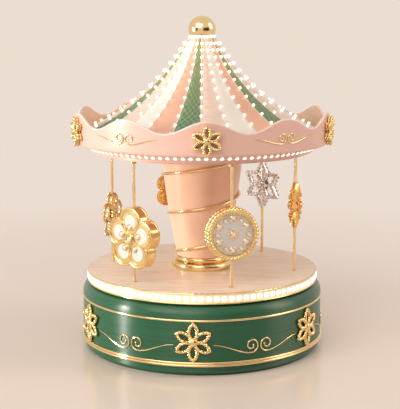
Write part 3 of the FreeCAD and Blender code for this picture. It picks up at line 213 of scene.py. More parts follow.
def facing_out(points, x=0.0, y=0.0, z=0.0):
    """A form built along plus Z, laid over so that it points out of the front, and moved to a place."""
    right, up, out = np.asarray(points, float).T
    return np.column_stack([right + x, y - out, up + z])


def along_normal(points, place, normal):
    """A form built along plus Z, moved to a place with its Z along a normal."""
    turn = np.array(Vector((0, 0, 1)).rotation_difference(Vector(normal)).to_matrix())
    return np.asarray(points, float) @ turn.T + np.asarray(place, float)


def wrapped(points, radius_at):
    """Flat ornament, x to the right, y inwards and z up, bent round the axis at the front."""
    x, y, z = np.asarray(points, float).T
    radius = radius_at(z)
    angle = x / radius
    return np.column_stack([(radius - y) * np.sin(angle), (y - radius) * np.cos(angle), z])


def shaped(change, shape, *values):
    """A shape whose points go through one of the changes above."""
    points, faces = shape
    return change(points, *values), faces


def tube(path, radius, facing, sides=10, closed=False, lobes=0, depth=0.0, pitch=1.0):
    """A tube along a path. Lobes that turn once in each pitch make it a rope. Open ends close in a point."""
    path = np.asarray(path, float)
    if closed:
        ahead, behind = np.roll(path, -1, 0), np.roll(path, 1, 0)
    else:
        ahead, behind = np.vstack([path[1:], path[-1:]]), np.vstack([path[:1], path[:-1]])
    along = unit(ahead - behind)
    side = unit(np.cross(along, np.broadcast_to(facing, path.shape)))
    rise = np.cross(side, along)
    steps = np.linalg.norm(np.diff(path, axis=0), axis=1)
    run = np.concatenate([[0], np.cumsum(steps)])
    if closed:
        whole = run[-1] + np.linalg.norm(path[0] - path[-1])
        pitch = whole / max(1, round(whole / pitch))
    angles = circle(sides)
    swing = angles[None, :] - 2 * math.pi * run[:, None] / pitch
    reach = np.broadcast_to(radius, len(path))[:, None] * (1 + depth * np.cos(lobes * swing))
    points = (path[:, None] + side[:, None] * (reach * np.cos(angles))[..., None]
              + rise[:, None] * (reach * np.sin(angles))[..., None]).reshape(-1, 3)
    faces = grid(len(path), sides, closed, True)
    if not closed:
        tip = len(points)
        points = np.vstack([points, path[:1], path[-1:]])
        last_ring = (len(path) - 1) * sides
        for index in range(sides):
            following = (index + 1) % sides
            faces.append((tip, following, index))
            faces.append((tip + 1, last_ring + index, last_ring + following))
    return points, faces


def twisted(path, radius, sides, pitch, depth=0.2):
    """A closed rope of two strands in the front plane."""
    return tube(path, radius, OUT, sides, closed=True, lobes=2, depth=depth, pitch=pitch)


def lathe(profile, segments, closed=False):
    """A profile of radius and height turned round the upright axis. A closed profile makes a ring."""
    rings = []
    for angle in circle(segments):
        rings.append([(radius * math.sin(angle), -radius * math.cos(angle), z) for radius, z in profile])
    return np.array(rings).reshape(-1, 3), grid(segments, len(profile), True, closed)


def dome_profile(radius, height, steps=6, base=0.0):
    """A cap from its rim up to its top."""
    curve = [(radius * math.cos(a), base + height * math.sin(a)) for a in arc(0, 90, steps)]
    return curve[:-1] + [(0, base + height)]


def in_scene(name, data):
    """A new object, linked into the scene."""
    made = bpy.data.objects.new(name, data)
    bpy.context.scene.collection.objects.link(made)
    return made


class Piece:
    """One mesh under construction, with the number of one of its finishes for each face."""

    def __init__(self, name, *finishes):
        self.name = name
        self.finishes = finishes
        self.points = []
        self.faces = []
        self.kinds = []
        self.count = 0

    def add(self, shape, finish=None):
        """Adds a shape in one of the piece's finishes, or else in its first."""
        points, faces = shape
        self.points.append(np.asarray(points, float))
        self.faces += [tuple(index + self.count for index in face) for face in faces]
        self.kinds += [self.finishes.index(finish) if finish else 0] * len(faces)
        self.count += len(points)

    def make(self, body, slot, *stands_for):
        mesh = bpy.data.meshes.new(self.name)
        mesh.from_pydata((np.vstack(self.points) * MM).tolist(), [], self.faces)
        mesh.polygons.foreach_set("material_index", self.kinds)
        work = bmesh.new()
        work.from_mesh(mesh)
        bmesh.ops.remove_doubles(work, verts=work.verts, dist=weld_distance)
        bmesh.ops.recalc_face_normals(work, faces=work.faces)
        work.to_mesh(mesh)
        work.free()
        mesh.polygons.foreach_set("use_smooth", [True] * len(mesh.polygons))
        mesh.set_sharp_from_angle(angle=math.radians(crease_angle))
        for finish in self.finishes:
            mesh.materials.append(materials[finish])
        piece = in_scene(self.name, mesh)
        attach(piece, body)
        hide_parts(*stands_for)


# Materials

class Tree:
    """The node tree of a material or world, with short calls for its nodes."""

    def __init__(self, owner):
        owner.use_nodes = True
        self.tree = owner.node_tree

    def node(self, kind, *sources, **settings):
        """A new node, with other nodes' sockets or plain values in its first inputs."""
        made = self.tree.nodes.new("ShaderNode" + kind)
        for name, value in settings.items():
            setattr(made, name, value)
        for socket, source in zip(made.inputs, sources):
            if isinstance(source, bpy.types.NodeSocket):
                self.tree.links.new(source, socket)
            else:
                socket.default_value = source
        return made

    def link(self, output, node, socket):
        self.tree.links.new(output, node.inputs[socket])

    def put(self, node, **values):
        for name, value in values.items():
            node.inputs[name.replace("_", " ")].default_value = value

    def math(self, operation, *sources):
        return self.node("Math", *sources, operation=operation).outputs[0]

    def shown(self):
        """One on the rays that show a surface: from the camera, off a polish or through glass."""
        path = self.node("LightPath").outputs
        bent = self.math("MAXIMUM", path["Is Glossy Ray"], path["Is Transmission Ray"])
        return self.math("MAXIMUM", path["Is Camera Ray"], bent)

    def finish_with(self, output, *sources):
        """Sends a mix of two shaders to the output node."""
        mix = self.node("MixShader", *sources)
        self.link(mix.outputs[0], self.tree.nodes[output], "Surface")


class Finish(Tree):
    """A material's main shader, and the nodes that its pattern needs."""

    def __init__(self, name):
        self.material = bpy.data.materials.new(name)
        super().__init__(self.material)
        self.shader = self.tree.nodes["Principled BSDF"]
        self.place = self.node("TexCoord").outputs["Object"]

    def set(self, **values):
        self.put(self.shader, **values)

    def vector(self, operation, *sources):
        return self.node("VectorMath", *sources, operation=operation).outputs

    def axes(self):
        return self.node("SeparateXYZ", self.place).outputs

    def round_place(self):
        """Coordinates that run round the axis: angle, height and radius."""
        x, y, z = self.axes()
        squares = self.math("ADD", self.math("MULTIPLY", x, x), self.math("MULTIPLY", y, y))
        angle, radius = self.math("ARCTAN2", y, x), self.math("SQRT", squares)
        return self.node("CombineXYZ", angle, z, radius).outputs[0]

    def noise(self, scale, detail=3.0, roughness=0.5, place=None):
        """Cloudy noise over the object. A scale of three numbers draws it out along an axis."""
        place = place or self.place
        if isinstance(scale, tuple):
            place, scale = self.vector("MULTIPLY", place, scale)[0], 1.0
        made = self.node("TexNoise", place)
        self.put(made, Scale=scale, Detail=detail, Roughness=roughness)
        return made.outputs["Fac"]

    def ramp(self, factor, *stops, socket="Base Color"):
        """Colours along a factor, into one of the shader's sockets."""
        made = self.node("ValToRGB", factor)
        elements = made.color_ramp.elements
        while len(elements) < len(stops):
            elements.new(0.5)
        for element, (place, colour) in zip(elements, stops):
            element.position = place
            element.color = (*colour, 1.0)
        self.link(made.outputs["Color"], self.shader, socket)

    def span(self, factor, low, high, source=(0.3, 0.7)):
        """A factor brought from its source range to a new one."""
        return self.node("MapRange", factor, *source, low, high).outputs["Result"]

    def rough(self, factor, low, high):
        self.link(self.span(factor, low, high), self.shader, "Roughness")

    def bump(self, height, distance, strength):
        made = self.node("Bump")
        self.put(made, Strength=strength, Distance=distance)
        self.link(height, made, "Height")
        self.link(made.outputs["Normal"], self.shader, "Normal")

    def streaked(self, amount):
        """Fine marks round the upright axis, which draw highlights out up and down."""
        tangent = self.node("Tangent", direction_type="RADIAL", axis="Z")
        self.link(tangent.outputs[0], self.shader, "Tangent")
        self.set(Anisotropic=amount, Anisotropic_Rotation=0.25)


def shade(colour, factor):
    return tuple(min(1.0, channel * factor) for channel in colour)


def lacquered_wood(made, colour):
    """Glossy lacquer over wood whose straight grain runs round the drum."""
    grain = made.noise((2.0, 900.0, 900.0), detail=4.0, roughness=0.6, place=made.round_place())
    cloud = made.noise(25.0, detail=2.0)
    tone = made.math("ADD", made.math("MULTIPLY", grain, 0.7), made.math("MULTIPLY", cloud, 0.3))
    made.ramp(tone, (0.32, shade(colour, 0.78)), (0.5, colour), (0.68, shade(colour, 1.22)))
    made.rough(grain, 0.26, 0.4)
    made.set(IOR=1.62)
    made.streaked(0.92)
    made.bump(grain, distance=0.00014, strength=0.6)


def polished_metal(made, colour, roughness, brushed=0.0):
    """Polished metal with faint tone changes and fine handling marks."""
    cloud = made.noise(90.0)
    marks = made.noise((400.0, 400.0, 2600.0), roughness=0.6)
    made.ramp(cloud, (0.35, shade(colour, 0.86)), (0.65, colour))
    made.rough(marks, roughness, roughness + 0.1 + brushed)
    made.set(Metallic=1.0)
    made.bump(marks, distance=0.00002, strength=0.2 + brushed)


def satin_lacquer(made, colour, roughness, tone=0.12, streaks=0.0):
    """Sprayed satin lacquer: soft cloudiness and a faint orange peel."""
    cloud = made.noise(30.0, detail=4.0)
    peel = made.noise(900.0, detail=2.0)
    made.ramp(cloud, (0.3, shade(colour, 1.0 - tone)), (0.7, shade(colour, 1.0 + tone / 2)))
    made.rough(peel, roughness - 0.05, roughness + 0.07)
    made.set(Coat_Weight=0.25, Coat_Roughness=0.2)
    if streaks:
        made.streaked(streaks)
    made.bump(peel, distance=0.00003, strength=0.25)


def tent_lacquer(made, rim, top):
    """Satin lacquer that pales from the tent's rim to its top."""
    rise = made.span(made.axes()[2], 0.0, 0.8, (canopy_rim_z * MM, canopy_top_z * MM))
    cloud = made.noise(60.0, detail=4.0)
    made.ramp(made.math("ADD", rise, made.math("MULTIPLY", cloud, 0.2)), (0.1, rim), (0.9, top))
    made.rough(cloud, 0.34, 0.46)
    made.set(Coat_Weight=0.25, Coat_Roughness=0.2)


def pale_wood(made):
    """Fine straight grain along X with slow bends, under a thin satin varnish."""
    bend_reach = 0.012
    bend = made.vector("MULTIPLY", made.noise(14.0, detail=2.0), (bend_reach, bend_reach, bend_reach))[0]
    bent = made.vector("ADD", made.place, bend)[0]
    grain = made.noise((18.0, 420.0, 420.0), detail=5.0, roughness=0.65, place=bent)
    pores = made.noise((120.0, 2600.0, 2600.0), detail=2.0, place=bent)
    made.ramp(grain, (0.32, (0.73, 0.58, 0.44)), (0.48, (0.88, 0.77, 0.64)), (0.68, (0.93, 0.84, 0.73)))
    made.rough(pores, 0.34, 0.5)
    made.set(Coat_Weight=0.2, Coat_Roughness=0.25)
    made.bump(pores, distance=0.00005, strength=0.3)


def lit_glass(made, colour, strength):
    """A frosted lamp globe, lit from inside, with slight differences from lamp to lamp."""
    flicker = made.noise(160.0, detail=1.0)
    made.ramp(flicker, (0.3, shade(colour, 0.92)), (0.7, colour))
    made.ramp(flicker, (0.3, shade(colour, 0.9)), (0.7, colour), socket="Emission Color")
    made.link(made.span(flicker, strength * 0.85, strength), made.shader, "Emission Strength")
    made.set(Roughness=0.4)


def mother_of_pearl(made):
    """Layered shell: broad drifting tones of white, rose and blue under a clear polish."""
    drift = made.noise((90.0, 90.0, 160.0), roughness=0.55)
    layers = made.noise((250.0, 250.0, 900.0), detail=2.0)
    made.ramp(drift, (0.3, (0.55, 0.57, 0.6)), (0.45, (0.7, 0.68, 0.66)), (0.6, (0.73, 0.67, 0.65)),
              (0.72, (0.65, 0.69, 0.68)))
    made.rough(layers, 0.16, 0.3)
    made.set(Coat_Weight=0.4, Coat_Roughness=0.1)
    made.bump(layers, distance=0.00003, strength=0.2)


def cut_stone(made, colour):
    """A small clear stone: very smooth, with lighter and darker places."""
    spark = made.noise(700.0, detail=1.0)
    made.ramp(spark, (0.35, shade(colour, 0.75)), (0.65, colour))
    made.rough(spark, 0.02, 0.08)
    made.set(Coat_Weight=0.4, Coat_Roughness=0.02, IOR=1.7)


def moulded_plastic(made, colour):
    """Fine even mould grain."""
    grain = made.noise(1500.0, detail=2.0)
    made.ramp(grain, (0.35, shade(colour, 0.85)), (0.65, shade(colour, 1.15)))
    made.rough(grain, 0.45, 0.6)
    made.bump(grain, distance=0.00006, strength=0.35)


def felt_cloth(made, colour):
    """Short matted nap."""
    nap = made.noise(2200.0, detail=4.0, roughness=0.7)
    made.ramp(nap, (0.3, shade(colour, 0.6)), (0.7, shade(colour, 1.4)))
    made.set(Roughness=0.95, Sheen_Weight=0.5)
    made.bump(nap, distance=0.0002, strength=0.8)


# Each finish by name: what makes it, its colour or colours, and the rest as that function lists it
finishes = {
    "green_lacquer": (lacquered_wood, (0.006, 0.098, 0.042)),
    "pale_wood": (pale_wood,),
    "gold": (polished_metal, (0.95, 0.74, 0.4), 0.08),
    "rope_gold": (polished_metal, (0.93, 0.69, 0.33), 0.14),
    "amber_gold": (polished_metal, (0.92, 0.56, 0.19), 0.16),
    "silver_pave": (polished_metal, (0.88, 0.86, 0.84), 0.2),
    "pearl": (mother_of_pearl,),
    "pink_lacquer": (satin_lacquer, (0.84, 0.555, 0.48), 0.36, 0.06),
    # Paler pink on the skirt's rolled lip: a painted highlight where the rounded edge catches the light.
    "valance_lip": (satin_lacquer, (0.9, 0.74, 0.69), 0.3, 0.06),
    # A brighter peach on the skirt's inner face: painted lamplight from the string lamps under the tent.
    "valance_inside": (satin_lacquer, (0.97, 0.68, 0.5), 0.36, 0.04),
    "peach_lacquer": (satin_lacquer, (0.96, 0.63, 0.46), 0.3, 0.04, 0.7),
    "gore_green": (tent_lacquer, (0.05, 0.17, 0.09), (0.3, 0.34, 0.13)),
    "gore_stitch": (tent_lacquer, (0.15, 0.29, 0.17), (0.42, 0.45, 0.22)),
    "gore_blush": (satin_lacquer, (0.83, 0.66, 0.57), 0.4),
    "gore_white": (satin_lacquer, (0.86, 0.83, 0.78), 0.4),
    "gore_peach": (satin_lacquer, (0.85, 0.49, 0.35), 0.4),
    "seam": (satin_lacquer, (0.82, 0.7, 0.58), 0.4),
    "lamp": (lit_glass, (1.0, 0.93, 0.8), 1.5),
    "lamp_band": (lit_glass, (1.0, 0.74, 0.46), 0.4),
    "felt": (felt_cloth, (0.03, 0.09, 0.05)),
    "black_plastic": (moulded_plastic, (0.03, 0.03, 0.032)),
    "ivory_plastic": (moulded_plastic, (0.7, 0.62, 0.5)),
    "die_cast": (polished_metal, (0.5, 0.5, 0.5), 0.4, 0.1),
    "steel": (polished_metal, (0.6, 0.6, 0.62), 0.26, 0.1),
    "brass": (polished_metal, (0.72, 0.5, 0.2), 0.26, 0.1),
    "cell": (moulded_plastic, (0.08, 0.08, 0.1)),
    "stone": (cut_stone, (0.95, 0.95, 0.96)),
    "amber_stone": (cut_stone, (0.85, 0.45, 0.12)),
}
materials = {}
for finish_name, (build_finish, *finish_values) in finishes.items():
    finish = Finish(finish_name)
    build_finish(finish, *finish_values)
    materials[finish_name] = finish.material


def dress_solids():
    """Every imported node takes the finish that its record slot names."""
    for row in frame["record"]["subparts"]:
        solid = frame["nodes"][row["node"]]
        solid.data.materials.clear()
        solid.data.materials.append(materials[row["material_slot"]])


# Ornament

def petal_outline(tip, root, width, count):
    """A closed pointed petal of two arcs, upright in the front plane."""
    length = tip - root
    half = width / 2
    radius = (length * length / 4 + half * half) / (2 * half)
    sweep = math.asin(length / 2 / radius)
    angles = np.linspace(-sweep, sweep, count)
    right = np.column_stack([radius * np.cos(angles) - (radius - half), np.zeros(count),
                             radius * np.sin(angles) + (tip + root) / 2])
    left = right[::-1] * (-1, 1, 1)
    return np.vstack([right[:-1], left[:-1]])


def rosette_parts(tip, root, width, rope, hub, depth):
    """Rope-edged open petals, a domed boss and a bead in each notch, flat and facing the front."""
    strand_pitch, boss_height = 3.2 * rope, 0.6 * hub
    bead_size, bead_circle = 0.7 * rope, 1.45 * hub
    parts = []
    outline = petal_outline(tip - rope, root, width - 2 * rope, 26)
    for layer in range(round(depth / (2 * rope))):
        raised = moved(outline, 0, -rope * (1 + 2 * layer), 0)
        for angle in turns(rosette_petals):
            parts.append(twisted(spun(raised, angle), rope, 12, strand_pitch))
    boss = lathe(dome_profile(hub, boss_height, base=depth - 0.6 * rope), 24)
    parts.append(shaped(facing_out, boss))
    notch_bead = lathe(dome_profile(bead_size, bead_size, 4, depth - rope), 10)
    for angle in turns(rosette_petals, 180.0 / rosette_petals):
        place = spun([[0, 0, bead_circle]], angle)[0]
        parts.append(shaped(facing_out, notch_bead, *place))
    return parts


def scroll_path(radius, run, rise, wire):
    """Half a double scroll: from the eye of a volute out and along its rising tail."""
    volute_steps, tail_steps = 60, 25
    volute_sweep, winding_in, winding_power = 450.0, 0.72, 1.1
    centre = radius + wire
    inwards = np.linspace(1, 0, volute_steps)
    angle = np.radians(270.0 - volute_sweep * inwards)
    reach = radius * (1 - winding_in * inwards ** winding_power)
    volute = np.column_stack([centre + reach * np.cos(angle), np.zeros(volute_steps), reach * np.sin(angle)])
    share = np.linspace(0, 1, tail_steps + 1)[1:]
    tail = np.column_stack([centre + run * share, np.zeros(tail_steps),
                            rise * (1 - np.cos(math.pi * share)) / 2 - radius])
    return np.vstack([volute, tail])


def scroll_parts(radius, run, rise, wire):
    """A double scroll whose wire thins towards its ends, with a domed eye in each volute."""
    wire_lift, thin_end, swell, eye_lead, eye_size = 0.6, 0.45, 2.2, 0.08, 1.35
    path = moved(scroll_path(radius, run, rise, wire), 0, -wire * wire_lift, 0)
    share = np.linspace(0, 1, len(path))
    taper = wire * np.minimum(1.0, thin_end + swell * np.minimum(share + eye_lead, 1.0 - share))
    eye = lathe(dome_profile(wire * eye_size, wire, 4), 12)
    parts = []
    for side in (1, -1):
        parts.append(tube(path * (side, 1, 1), taper, OUT))
        parts.append(shaped(facing_out, eye, *(path[0] * (side, 0, 1))))
    return parts


def base_wall(z):
    return np.full_like(z, base_radius)


def valance_wall_radius(z):
    return valance_corner_radius + valance_slope * (z - valance_corner_z)


def mounted(piece, parts, height, wall, bearings):
    """Repeats flat ornament round a wall."""
    for part in parts:
        bent = shaped(wrapped, shaped(moved, part, 0, 0, height), wall)
        for bearing in bearings:
            piece.add(shaped(turned, bent, bearing))


def base_ornament():
    rosettes = Piece("base_rosette_ropes", "rope_gold")
    mounted(rosettes, rosette_parts(**base_rosette), base_field_middle, base_wall, turns(base_rosette_count))
    rosettes.make("base", "rope_gold", "base_rosettes")
    scrolls = Piece("base_scroll_wires", "gold")
    mounted(scrolls, scroll_parts(**base_scroll), base_field_middle - base_scroll_drop, base_wall,
            turns(base_rosette_count, 180.0 / base_rosette_count))
    scrolls.make("base", "gold", "base_scrolls")


def valance_ornament():
    rosettes = Piece("valance_rosette_ropes", "rope_gold")
    mounted(rosettes, rosette_parts(**valance_rosette), valance_field_middle, valance_wall_radius,
            turns(valance_rosette_count, rest_turn))
    rosettes.make("carousel", "rope_gold", "valance_rosettes")
    scrolls = Piece("valance_scroll_wires", "gold")
    mounted(scrolls, scroll_parts(**valance_scroll), valance_field_middle, valance_wall_radius,
            turns(valance_rosette_count, rest_turn + 180.0 / valance_rosette_count))
    scrolls.make("carousel", "gold", "valance_scrolls")


# Platform, column and valance

def square_lens(half, height):
    """A pillowed lens with a rounded square outline, along plus Z."""
    count = 20
    sides = np.column_stack([np.cos(circle(count)), np.sin(circle(count))])
    outline = np.sign(sides) * np.abs(sides) ** platform_lamp_squareness
    levels = ((1.0, -0.2), (1.0, 0.45), (0.86, 0.8), (0.55, 0.96), (0.0, 1.0))
    rings = []
    for share, rise in levels:
        rings.append(np.column_stack([outline * half * share, np.full(count, height * rise)]))
    return np.vstack(rings), grid(len(levels), count, False, True)


def platform_lamps():
    """Square-shouldered lenses in a glowing band round the platform's edge."""
    piece = Piece("platform_lamp_band", "lamp", "lamp_band")
    inner, outer = lamp_band_inner, lamp_band_inner + lamp_band_width
    middle = (lamp_band_low + lamp_band_high) / 2
    band = [(inner, lamp_band_low), (outer, lamp_band_low), (outer, lamp_band_high), (inner, lamp_band_high)]
    piece.add(lathe(band, 192, closed=True), "lamp_band")
    lens = shaped(facing_out, square_lens(platform_lamp_half, platform_lamp_projection), 0, -outer, middle)
    for bearing in turns(platform_lamp_count):
        piece.add(shaped(turned, lens, bearing))
    piece.make("carousel", "lamp", "platform_lights")


def column_radius(z):
    """The column's curved side, through its three radii."""
    share = (z - column_low) / (column_high - column_low)
    foot, middle, top = column_radii
    return (foot * (1 - share) * (1 - 2 * share) + 4 * middle * share * (1 - share)
            + top * share * (2 * share - 1))


def column_helix():
    """A wire wound up the column, thinning at its two ends."""
    thin_end, swell = 0.35, 40
    share = np.linspace(0, 1, 260)
    z = wire_low + wire_radius + (wire_high - wire_low - 2 * wire_radius) * share
    angle = np.radians(wire_start_bearing + 360.0 * wire_turns * share)
    reach = column_radius(z) + wire_radius
    outwards = np.column_stack([np.sin(angle), -np.cos(angle), np.zeros(len(z))])
    path = outwards * reach[:, None]
    path[:, 2] = z
    taper = wire_radius * np.minimum(1.0, thin_end + swell * np.minimum(share, 1 - share))
    piece = Piece("column_helix", "gold")
    piece.add(tube(path, taper, outwards, 14))
    piece.make("carousel", "gold", "column_wire")


def valance_profile(top):
    """The skirt's section under one height of its wave: outer face, rolled lip and inner face."""
    shelf = valance_corner_radius - valance_corner_round
    inner_round = valance_corner_round - valance_wall

    def corner(radius, angles):
        return [(shelf + radius * math.sin(a), valance_corner_z - radius * math.cos(a)) for a in angles]

    lip = valance_wall / 2
    wall_top = top - lip
    levels = np.linspace(valance_corner_z, wall_top, 8)[1:]
    outer = [(soffit_radius, valance_bottom), (lip_radius, valance_bottom), (lip_radius, lip_top),
             (lip_radius + valance_cove, valance_cove_z)]
    outer += corner(valance_corner_round, arc(0, 90, 6))
    outer += [(valance_wall_radius(z), z) for z in levels]
    lip_centre = valance_wall_radius(wall_top) - lip
    rolled = [(lip_centre + lip * math.cos(a), wall_top + lip * math.sin(a)) for a in arc(0, 180, 9)[1:-1]]
    inner = [(valance_wall_radius(z) - valance_wall, z) for z in levels[::-1]]
    inner += corner(inner_round, arc(90, 0, 6))
    inner.append((soffit_radius, valance_cove_z + valance_wall))
    return outer, rolled, inner


def valance_skirt():
    """The pink skirt with its waving rolled lip. The lip is painted paler as a highlight and the inside
    painted brighter as lamplight.
    """
    count = 36 * valance_lobes
    rows = []
    for bearing in turns(count):
        top = valance_mean_z + valance_wave * math.cos(math.radians(valance_lobes * bearing))
        outer, rolled, inner = valance_profile(top)
        row = [(0, -radius, z) for radius, z in outer + rolled + inner]
        rows.append(turned(row, rest_turn + bearing))
    columns = len(rows[0])
    piece = Piece("valance_skirt", "pink_lacquer", "valance_lip", "valance_inside")
    piece.add((np.vstack(rows), grid(count, columns, True, True)))
    # Outer faces pink; the lip is painted paler as a highlight; the inner faces are painted brighter as
    # lamplight.
    lip_first, lip_last = len(outer) - 1, len(outer) + len(rolled)
    section_kinds = [0] * lip_first + [1] * (lip_last - lip_first) + [2] * (columns - lip_last)
    piece.kinds = section_kinds * count
    piece.make("carousel", "pink_lacquer", "valance")


def valance_lamps():
    """Low lenses on a strip along the middle of the slanted cove."""
    piece = Piece("valance_lamp_ring", "lamp", "seam")
    middle_radius = lip_radius + valance_cove / 2
    middle_z = lip_top + valance_cove / 2
    slant = math.sqrt(0.5)
    strip_half, strip_rise = 0.8 * slant, 0.4 * slant
    strip = []
    for side, rise in ((-1, 0), (-1, 1), (1, 1), (1, 0)):
        strip.append((middle_radius + side * strip_half + rise * strip_rise,
                      middle_z + side * strip_half - rise * strip_rise))
    piece.add(lathe(strip, 180, closed=True), "seam")
    lens = lathe(dome_profile(valance_lamp_radius, valance_lamp_height), 16)
    for bearing in turns(valance_lamp_count, rest_turn):
        away = np.array([math.sin(math.radians(bearing)), -math.cos(math.radians(bearing)), 0])
        normal = (away - np.array([0, 0, 1])) * slant
        place = away * middle_radius + np.array([0, 0, middle_z]) + normal * valance_lamp_seat
        piece.add(shaped(along_normal, lens, place, normal))
    piece.make("carousel", "lamp", "valance_lights")


# Canopy

def canopy_arc():
    """Centre and radius of the tent's sagging meridian, the angle of its top and its sweep to the rim."""
    top, rim = np.array([canopy_top_radius, canopy_top_z]), np.array([canopy_rim_radius, canopy_rim_z])
    chord = rim - top
    length = np.linalg.norm(chord)
    radius = (length * length / 4 + canopy_sag ** 2) / (2 * canopy_sag)
    outward = np.array([-chord[1], chord[0]]) / length
    centre = (top + rim) / 2 + outward * (radius - canopy_sag)
    first, last = (math.atan2(*(point - centre)[::-1]) for point in (top, rim))
    return centre, radius, first, math.remainder(last - first, 2 * math.pi)


arc_centre, arc_radius, arc_first, arc_sweep = canopy_arc()
canopy_length = arc_radius * abs(arc_sweep)


def canopy_point(distance, lift):
    """Radius and height on the meridian, a distance down from its top, lifted off the tent."""
    angle = arc_first + math.copysign(distance / arc_radius, arc_sweep)
    reach = arc_radius - lift
    return arc_centre[0] + reach * math.cos(angle), arc_centre[1] + reach * math.sin(angle)


def quilt(share, along):
    """Height of a diagonal quilting, from nought in its stitches to one on its pads."""
    across, down = quilt_diamonds * share, along / quilt_pitch
    first = abs(math.sin(math.pi * (across + down)))
    second = abs(math.sin(math.pi * (across - down)))
    return math.sqrt(first * second)


def quilt_kinds():
    """Which of a quilted panel's outer faces are pads and which are stitches."""
    steps, columns = quilt_grid
    kinds = []
    for step in range(steps - 1):
        along = canopy_length * (step + 0.5) / (steps - 1)
        for column in range(columns - 1):
            kinds.append(int(quilt((column + 0.5) / (columns - 1), along) < quilt_stitch))
    return kinds


def gore_panel(quilted):
    """One panel of the tent between two seams, a little full in its middle."""
    edge_slope, top_depth = 8, 0.15
    steps, columns = quilt_grid if quilted else gore_grid
    points = []
    for outside in (True, False):
        for step in range(steps):
            down = step / (steps - 1)
            along = canopy_length * down
            for column in range(columns):
                share = column / (columns - 1)
                lift = gore_fullness * math.sin(math.pi * share) * math.sin(math.pi * down)
                if quilted:
                    edge = min(1.0, edge_slope * min(share, 1 - share))
                    depth = quilt_depth * (top_depth + (1 - top_depth) * down)
                    lift += depth * edge * quilt(share, along)
                radius, z = canopy_point(along, lift if outside else -gore_thickness)
                spare = math.degrees(seam_width / 2 / radius)
                bearing = spare + (gore_angle - 2 * spare) * share
                points.append(turned([[0, -radius, z]], bearing)[0])
    count = steps * columns
    faces = grid(steps, columns)
    faces += [tuple(index + count for index in face) for face in faces]
    border = list(range(columns))
    border += [step * columns + columns - 1 for step in range(1, steps)]
    border += [(steps - 1) * columns + column for column in range(columns - 2, -1, -1)]
    border += [step * columns for step in range(steps - 2, 0, -1)]
    for corner, following in zip(border, border[1:] + border[:1]):
        faces.append((corner, following, following + count, corner + count))
    return np.array(points), faces


def gores():
    """The tent's panels, one piece for each colour. The green ones are quilted."""
    for number, colour in enumerate(gore_colours):
        quilted = colour == "green"
        coats = ("gore_green", "gore_stitch") if quilted else (f"gore_{colour}",)
        piece = Piece(f"canopy_{colour}", *coats)
        panel = gore_panel(quilted)
        kinds = quilt_kinds() if quilted else []
        for index, bearing in enumerate(turns(gore_count, gore_first_seam)):
            if (index + 1) % len(gore_colours) == number:
                first = len(piece.kinds)
                piece.add(shaped(turned, panel, bearing))
                piece.kinds[first:first + len(kinds)] = kinds
        piece.make("carousel", f"gore_{colour}", f"gores_{colour}")


def add_lamp(piece, place, normal):
    """A lamp globe above a short socket collar."""
    radius, socket = string_lamp_radius, string_lamp_socket
    collar = radius * 0.62
    globe = [(radius * math.cos(a), socket + radius * (0.8 + math.sin(a))) for a in arc(-52, 90, 9)]
    globe = [(collar, socket)] + globe[:-1] + [(0, globe[-1][1])]
    for profile, finish in ((globe, "lamp"), ([(0, 0), (collar, 0), (collar, socket)], "seam")):
        piece.add(shaped(along_normal, lathe(profile, 14), place, normal), finish)


def light_strings():
    """A piped seam between gores with its row of lamps."""
    pipe_steps, pipe_sink, pipe_radius = 40, 0.25, seam_width * 0.56
    piece = Piece("canopy_light_strings", "lamp", "seam")
    line = [canopy_point(canopy_length * step / pipe_steps, -pipe_sink) for step in range(pipe_steps + 1)]
    pipe = tube([(0, -radius, z) for radius, z in line], pipe_radius, (1.0, 0.0, 0.0), 8)
    lamps = Piece("lamp_row", *piece.finishes)
    distance, step = string_lamp_first, string_lamp_step
    for _ in range(string_lamp_count):
        low, high = canopy_point(distance, 0.0), canopy_point(distance, 1.0)
        normal = np.array([0, low[0] - high[0], high[1] - low[1]])
        add_lamp(lamps, np.array([0, -low[0], low[1]]) + normal * string_lamp_lift, normal)
        distance += step
        step *= string_lamp_growth
    row = np.vstack(lamps.points), lamps.faces
    for bearing in turns(gore_count, gore_first_seam):
        piece.add(shaped(turned, pipe, bearing), "seam")
        piece.add(shaped(turned, row, bearing))
        piece.kinds[-len(lamps.kinds):] = lamps.kinds
    piece.make("carousel", "lamp", "light_strings")


# Charms, drawn about the pole and facing the front

def ring_path(radius, y, count, z=0.0):
    angles = circle(count)
    return np.column_stack([radius * np.sin(angles), np.full(count, y), radius * np.cos(angles) + z])


def upright_path(low, high):
    return [(0, 0, z) for z in np.linspace(low, high, 9)]


def add_both(piece, shape, finish=None):
    """A form on the front face, and the same one on the back."""
    for bearing in (0, 180):
        piece.add(shaped(turned, shape, bearing), finish)


def bead(radius):
    return lathe([(radius * math.cos(a), radius * math.sin(a)) for a in arc(-90, 90, 6)], 8)


def add_beads(piece, radius, path, add=add_both):
    """Beads along a path, on both faces or, with Piece.add, once."""
    for place in path:
        add(piece, shaped(moved, bead(radius), *place))


def add_stone(piece, radius, face, distance=0.0, angle=0.0):
    """A stone in the piece's last finish, in a bezel on both faces, at a distance along one angle."""
    x, _, z = spun([[0, 0, distance]], angle)[0]
    rim, crown = radius * 1.4, 0.3 + radius * 0.4
    bezel = lathe([(rim, -0.6), (rim, 0.2), (radius * 1.2, 0.5), (radius, 0.35), (radius, 0.0)], 16)
    stone = lathe([(radius, 0.15), (radius * 0.94, 0.35), (radius * 0.55, crown),
                   (0, 0.3 + radius * 0.42)], 8)
    add_both(piece, shaped(facing_out, bezel, x, -face, z))
    add_both(piece, shaped(facing_out, stone, x, -face, z), piece.finishes[-1])


